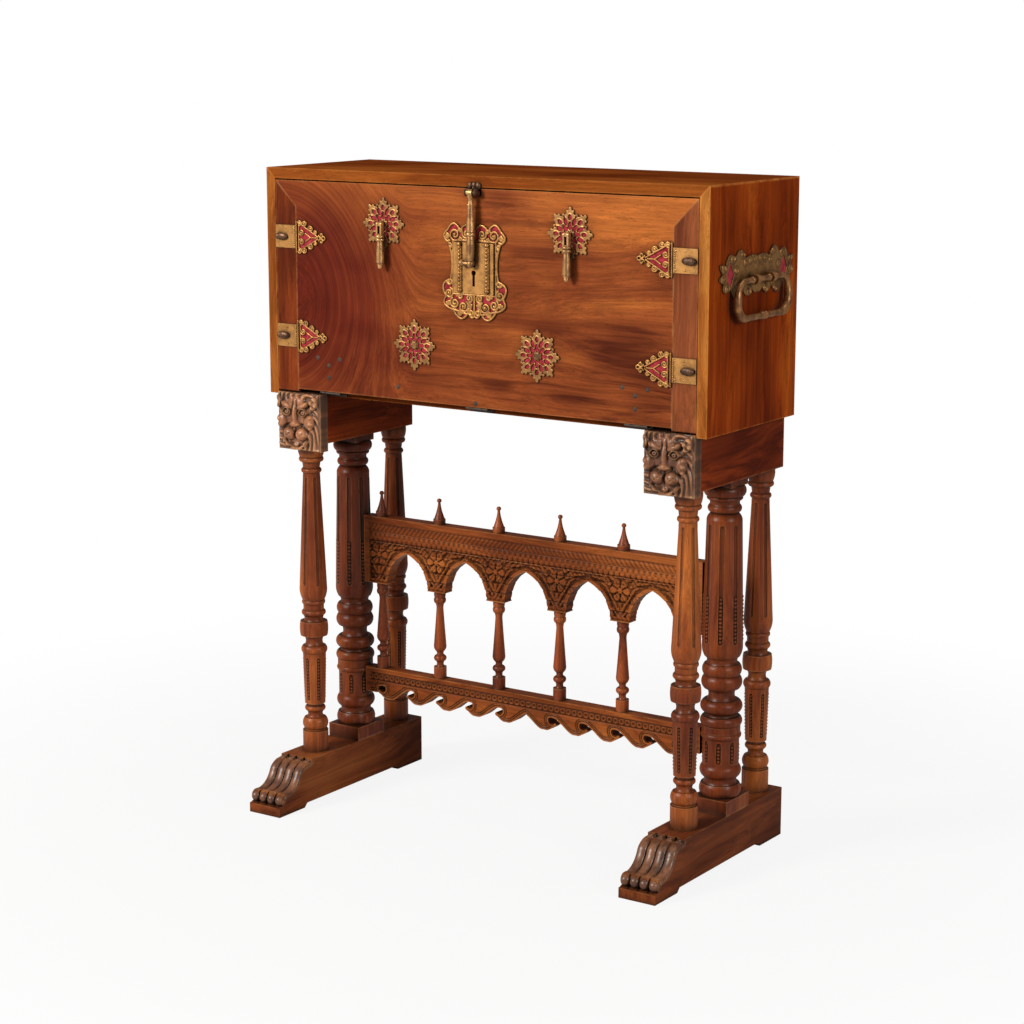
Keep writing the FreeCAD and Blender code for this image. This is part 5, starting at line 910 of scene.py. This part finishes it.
SCUTCHEON = (0.0715, 0.089)
half = through([
    (0.0, 0.9), ((0.22, 1.0), (0.44, 0.9)), ((0.66, 1.02), (0.86, 0.88)), ((1.0, 0.72), (0.84, 0.58)),
    ((0.74, 0.2), (0.78, -0.16)), ((1.02, -0.3), (0.94, -0.54)), ((0.98, -0.72), (0.7, -0.84)),
    ((0.44, -1.02), (0.2, -0.9)), ((0.1, -0.98), (0.0, -0.96))], 9) * SCUTCHEON
scutcheon = closed(half)
u, v, wide, tall = grid((-0.0735, 0.0735), (-0.0915, 0.0915), (171, 211))
rim = within(scutcheon, wide, tall)
curves = doubled([
    scroll((0.044, 0.068), 0.013, 200, 1.5), scroll((0.056, 0.048), 0.0085, 90, -1.2),
    scroll((0.018, 0.07), 0.0095, 20, -1.4), straight((0.0, 0.056), (0.0, 0.08)),
    scroll((0.03, 0.0585), 0.006, 180, 1.2), straight((0.05, 0.038), (0.054, -0.006)),
    scroll((0.056, -0.02), 0.008, 90, -1.4), scroll((0.058, -0.042), 0.01, 110, 1.5),
    scroll((0.045, -0.06), 0.0105, 60, -1.5), scroll((0.025, -0.066), 0.0115, 130, 1.5),
    scroll((0.012, -0.05), 0.008, 270, -1.3), scroll((0.033, -0.047), 0.007, 0, 1.3),
    scroll((0.008, -0.076), 0.0075, 90, -1.3), straight((0.0, -0.046), (0.0, -0.084)),
    straight((0.01, 0.06), (0.03, 0.056)), straight((0.02, -0.079), (0.05, -0.072)),
    scroll((0.031, 0.076), 0.005, 0, 1.2), scroll((0.062, 0.064), 0.005, 90, 1.2),
    scroll((0.034, -0.079), 0.0055, 90, 1.3), scroll((0.059, -0.06), 0.005, 0, -1.2),
    scroll((0.01, -0.062), 0.004, 180, 1.2), scroll((0.056, 0.02), 0.005, 90, 1.3),
])
plate_edge = np.maximum(np.abs(wide) - 0.048, np.abs(tall - 0.007) - 0.0495)
lace = np.max([0.0023 - near(curves, u, v), 0.0023 - np.abs(rim - 0.0018), 0.0022 - np.abs(plate_edge),
               np.minimum(-plate_edge, 0.004 + plate_edge)], axis=0)
part = leafwork(u, v, np.minimum(lace, rim), 0.0013, np.clip((-plate_edge - 0.0005) / 0.0015, 0.0, 1.0))
spots = [(0.0, 0.078)] + [(x * side, z) for side in (-1, 1)
                          for x, z in ((0.044, 0.068), (0.058, -0.042), (0.025, -0.066))]
buttons = strung([(x, LEAF_FACE - 0.0008, z) for x, z in spots], (0.0034, 0.0024, 0.0034), 12, 7)
parts = [moved(item, (0.0, 0.0, LOCK_Z)) for item in (part, buttons)]
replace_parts(made("escutcheon_leafwork", parts, gilt, "fall"), "lock_escutcheon")

# Bars of beads on the lock plate, each between two balls: gilt iron, filed round and riveted on either side
# of the keyhole.
places = [(side * 0.031, -0.1282, z) for side in (-1, 1) for z in np.linspace(1.079, 1.153, 12)]
ends = [(side * 0.031, -0.1286, z) for side in (-1, 1) for z in (1.0735, 1.159)]
parts = [strung(places, (0.0036, 0.0026, 0.0031), 10, 7), strung(ends, (0.005, 0.0034, 0.0046), 12, 8)]
made("lock_beads", parts, gilt, "fall")

# The bolts' plates and the pierced triangles beside them: gilt iron, each edge a scrolled strand, with beads
# and rivets on the plates. They are nailed to the fall over wedges of velvet.
curves = [straight((0.0085, -0.027), (0.0085, 0.027)), straight((0.0025, -0.03), (0.0025, 0.03)),
          straight((0.038, 0.0), (0.052, 0.0))]
for sign in (-1, 1):
    curves += [curve * (1, sign) for curve in (
        straight((0.006, 0.029), (0.056, 0.002)), straight((0.025, 0.008), (0.038, 0.0)),
        scroll((0.01, 0.0275), 0.0055, 270, 1.3), scroll((0.023, 0.0255), 0.006, 200, -1.3),
        scroll((0.038, 0.0165), 0.0062, 170, -1.4), scroll((0.015, 0.0095), 0.0065, 200, 1.4),
        scroll((0.064, 0.0062), 0.0058, 190, 1.0), scroll((0.05, 0.01), 0.004, 150, -1.2))]
u, v, wide, tall = grid((-0.001, 0.0755), (-0.0345, 0.0345), (97, 87))
ring = np.abs(np.hypot(wide - 0.07, tall) - 0.0035)
mount = leafwork(u, v, 0.0016 - np.minimum(near(curves, u, v), ring))
mount = moved(mount, (PANEL_HALF, 0.0, 0.0), -1)
u, v, wide, tall = grid((PANEL_HALF, FALL_HALF), (-0.0225, 0.0225), (51, 46))
beside_slot = np.maximum(np.abs(wide - 0.467) - 0.0088, np.abs(tall) - 0.0028)
depth = np.min([wide - 0.42779, 0.47779 - wide, 0.02251 - np.abs(tall), beside_slot], axis=0)
# Painted shade darkens the plate towards its edges and its slot
plate = carved(u, v, depth + 2e-5, -0.1228, FRONT, np.clip(0.5 - depth / 0.002, 0, 0.7))
rivets = strung([(x, -0.123, z) for x in (0.433, 0.452) for z in (-0.017, 0.017)],
                (0.0022, 0.0012, 0.0022))
beads = strung([(0.4306, -0.1232, z) for z in np.linspace(-0.0195, 0.0195, 11)], (0.0017, 0.0012, 0.0019))
parts = []
for side in (-1, 1):
    for z in BOLT_RISES:
        parts += [moved(part, (0.0, 0.0, z), side) for part in (mount, plate, rivets, beads)]
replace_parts(made("bolt_mounts", parts, gilt, "fall"), "bolt_plates")

# The bolts of dark bronze: a flat bar in the stile, a neck through the slot and an oval finger piece, filed
# from one piece. Each slides in its plate.


def brick(low, high):
    """A plain block between two corners."""
    return carved(np.array([low[0], high[0]]), np.array([low[2], high[2]]), np.ones((2, 2)), low[1], high[1])


for hand, side in SIDES:
    for level, z in zip(("upper", "lower"), BOLT_RISES):
        parts = [brick((0.4378, -0.1172, -0.006), (FALL_HALF, -0.1098, 0.006)),
                 brick((0.4585, -0.124, -0.0025), (0.4635, -0.117, 0.0025)),
                 strung((0.461, -0.1262, 0.0), (0.0142, 0.0042, 0.0072), 20, 13),
                 strung((0.4692, -0.127, 0.0), (0.0052, 0.0042, 0.0062), 16, 11)]
        parts = [moved(part, (0.0, 0.0, z), side) for part in parts]
        name = "bolt_%s_%s" % (level, hand)
        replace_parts(made("finger_" + name, parts, dark_bronze, name), name)

# The hasp's knuckle of dark bronze: two volutes about the pin, and three leaves that rise over the case's
# edge. It is riveted to the fall, and its pin carries the hasp.
pin = np.linspace((-0.0135, -0.1358, 1.2561), (0.0135, -0.1358, 1.2561), 5)
parts = [brick((-0.0143, -0.1231, 1.2491), (0.0143, -0.1211, 1.272)),
         brick((-0.0143, -0.1231, 1.2491), (0.0143, FRONT, 1.262)),
         carried(pin, (0.002, 0.002), (0, 1, 0), 10)]
for side in (-1, 1):
    parts.append(strung((0.0104 * side, -0.1328, 1.2561), (0.004, 0.0092, 0.0076), 18, 11))
    parts.append(strung((0.0104 * side, -0.1258, 1.2545), (0.0038, 0.0046, 0.0058), 14, 9))
    parts.append(strung((0.009 * side, -0.1238, 1.2672), (0.0056, 0.003, 0.0074), 14, 9))
parts.append(strung((0.0, -0.124, 1.2688), (0.0052, 0.0032, 0.0062), 14, 9))
parts.append(strung((0.0, -0.1252, 1.263), (0.0034, 0.0026, 0.0046), 12, 7))
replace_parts(made("hasp_knuckle", parts, dark_bronze, "fall"), "hasp_staple")

# The side handles: a plate chased with leaves and pierced by two lozenges, and a bail of swelling round bar
# whose mouldings sit in the middle of its lower run and beside its posts.
HANDLE_Y, PLATE_Z, BAIL_Z, BAIL_X = 0.0505, 1.1226, 1.112, 0.516
side_shares = [(0.0, 0.7), ((0.16, 0.78), (0.32, 0.66)), ((0.46, 1.06), (0.6, 0.74)),
               ((0.76, 0.9), (0.86, 0.46)), ((1.02, 0.5), (0.94, 0.1)), ((1.03, -0.1), (0.92, -0.3)),
               ((0.9, -0.66), (0.72, -0.6)), ((0.56, -1.04), (0.4, -0.66)), ((0.26, -0.96), (0.14, -0.7)),
               ((0.06, -0.86), (0.0, -0.84))]
side_plate = closed(through(side_shares, 8) * (0.135, 0.042))
curves = doubled([scroll((0.135 * step[0][0] * 0.9, 0.042 * step[0][1] * 0.8), 0.0085, 40 + 70 * index, 1.4)
                  for index, step in enumerate(side_shares[2:9])]
                 + [scroll((0.028, 0.023), 0.006, 90, 1.3), scroll((0.046, 0.02), 0.006, 90, -1.3),
                    scroll((0.01, 0.024), 0.006, 90, 1.3), scroll((0.078, 0.008), 0.007, 0, 1.3),
                    scroll((0.076, -0.013), 0.007, 0, -1.3), scroll((0.058, -0.023), 0.006, 90, 1.3)])
u, v, wide, tall = grid((-0.139, 0.139), (-0.043, 0.045), (269, 87))
lozenge = 0.0112 * (1 - np.abs(np.abs(wide) - 0.1) / 0.013 - np.abs(tall - 0.001) / 0.024)
depth = np.minimum(within(side_plate, wide, tall), -lozenge)
gap = near(curves, u, v)
ridge = bell(gap, 0.0, 0.0013) * (1 - bell(wide, 0.0, 0.03) * bell(tall, 0.002, 0.018))
proud = 0.0004 * rounded(depth) + 0.0016 * ridge + 0.0006 * bell(lozenge, -0.0018, 0.001)
shade = np.clip(0.75 - depth / 0.0015, 0, 0.75) + 0.75 * bell(gap, 0.003, 0.0013) * (gap < 0.0055)
plate = carved(u, v, depth, 0.5024 + proud, 0.501, np.clip(shade, 0.0, 0.85))


def on_side(part, side):
    """A part made flat, stood against one side of the case: its width runs along Y and its depth along X."""
    x, y, z = part[0].T
    return (np.stack([y * side, x + HANDLE_Y, z + PLATE_Z], axis=-1),) + part[1:]


quarter = np.linspace(0.0, math.pi / 2, 12)[1:]
half = np.concatenate([
    straight((0.0, 0.0), (0.067, 0.0)),
    np.stack([0.067 + 0.028 * np.sin(quarter), -0.028 + 0.028 * np.cos(quarter)], axis=-1),
    straight((0.095, -0.029), (0.095, -0.0385)),
    np.stack([0.067 + 0.028 * np.cos(quarter), -0.039 - 0.028 * np.sin(quarter)], axis=-1),
    straight((0.0665, -0.067), (0.0, -0.067))])
loop = closed(half)
swell = 0.0052 + 0.0026 * eased(np.abs(loop[:, 0]), 0.05, 0.092) * eased(-loop[:, 1], 0.004, 0.034)
swell += 0.0008 * eased(-loop[:, 1], 0.05, 0.066)
low_run = loop[:, 1] < -0.06
for place in (-0.0062, 0.0, 0.0062):
    swell += low_run * 0.0018 * bell(loop[:, 0], place, 0.0022)
for place in (0.018, 0.044):
    swell += ~low_run * (loop[:, 1] > -0.01) * 0.0016 * bell(np.abs(loop[:, 0]), place, 0.002)
for hand, side in SIDES:
    leaves = made("handle_leafwork_" + hand, [on_side(plate, side)], aged_gilt, "case_and_stand")
    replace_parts(leaves, "handle_plate_" + hand)
    path = np.column_stack([np.full(len(loop), BAIL_X * side), loop[:, 0] + HANDLE_Y, loop[:, 1] + BAIL_Z])
    ring = looped(path, (swell, swell), (1, 0, 0))
    bail = made("bail_ring_" + hand, [ring], bronze, "bail_" + hand)
    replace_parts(bail, "bail_" + hand)

# The rest of the metal keeps the solids' shapes: brass drop handles and knobs, bronze posts, and iron for
# the lock's inside, for the hinges and for the nails that clench them.
dress(brass, "drop_handle_left", "drop_handle_right", "drop_staples", "drawer_knobs")
dress(bronze, "bail_left", "bail_right", "bail_posts", "bolt_upper_left", "bolt_lower_left",
      "bolt_upper_right", "bolt_lower_right")
dress(iron, "lock_back_plate", "lock_bolt", "hinge_straps", "hinge_leaves", "hinge_pins", "fall_nails")

# Velvet behind the mounts, deep red and worn: discs, wedges and a lobed piece on the fall, and a lobed piece
# on each side of the case. It is cut to the mounts' outlines, and their nails hold it.
velvet, tree, shader = fresh("velvet")
worn = span(tree, noise(tree, node(tree, "TexCoord").outputs["Object"], 90.0), 0.35, 0.65)
fill(tree, shader, {"Base Color": mixed(tree, worn, (0.2, 0.012, 0.018, 1), (0.42, 0.036, 0.052, 1)),
                    "Roughness": 0.9, "Sheen Weight": 0.12, "Specular IOR Level": 0.1})
dress(velvet, "mount_velvet", "side_velvet")
VELVET_FACE = -0.12175
u, v, wide, tall = grid((-0.04, 0.04), (-0.04, 0.04), (41, 41))
disc = carved(u, v, 0.0375 - np.hypot(wide, tall), VELVET_FACE, FRONT)
u, v, wide, tall = grid((0.004, 0.058), (-0.03, 0.03), (37, 41))
depth = np.minimum(wide - 0.0062, 0.0285 - np.abs(tall) - 0.52 * (wide - 0.006))
wedge = moved(carved(u, v, depth, VELVET_FACE, FRONT), (PANEL_HALF, 0, 0), -1)
u, v, wide, tall = grid((-0.071, 0.071), (-0.088, 0.088), (101, 121))
holes = np.maximum(0.0052 - np.maximum(np.abs(wide), np.abs(tall - 0.0155) - 0.0035),
                   0.0062 - np.maximum(np.abs(wide), np.abs(tall + 0.0116) - 0.0092))
lobed = carved(u, v, np.minimum(within(scutcheon * 0.965, wide, tall), -holes), VELVET_FACE, FRONT)
parts = [moved(lobed, (0, 0, LOCK_Z))]
for side in (-1, 1):
    parts += [moved(disc, (x * side, 0, z)) for x, z in STARS]
    parts += [moved(wedge, (0, 0, z), side) for z in BOLT_RISES]
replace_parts(made("mount_velvet_pads", parts, velvet, "fall"), "mount_velvet")
u, v, wide, tall = grid((-0.136, 0.136), (-0.042, 0.042), (137, 43))
depth = np.minimum(within(side_plate * 0.97, wide, tall), np.abs(wide) - 0.06)
ground = carved(u, v, depth, 0.50105, 0.5)
parts = [on_side(ground, side) for side in (-1, 1)]
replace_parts(made("side_velvet_pads", parts, velvet, "case_and_stand"), "side_velvet")
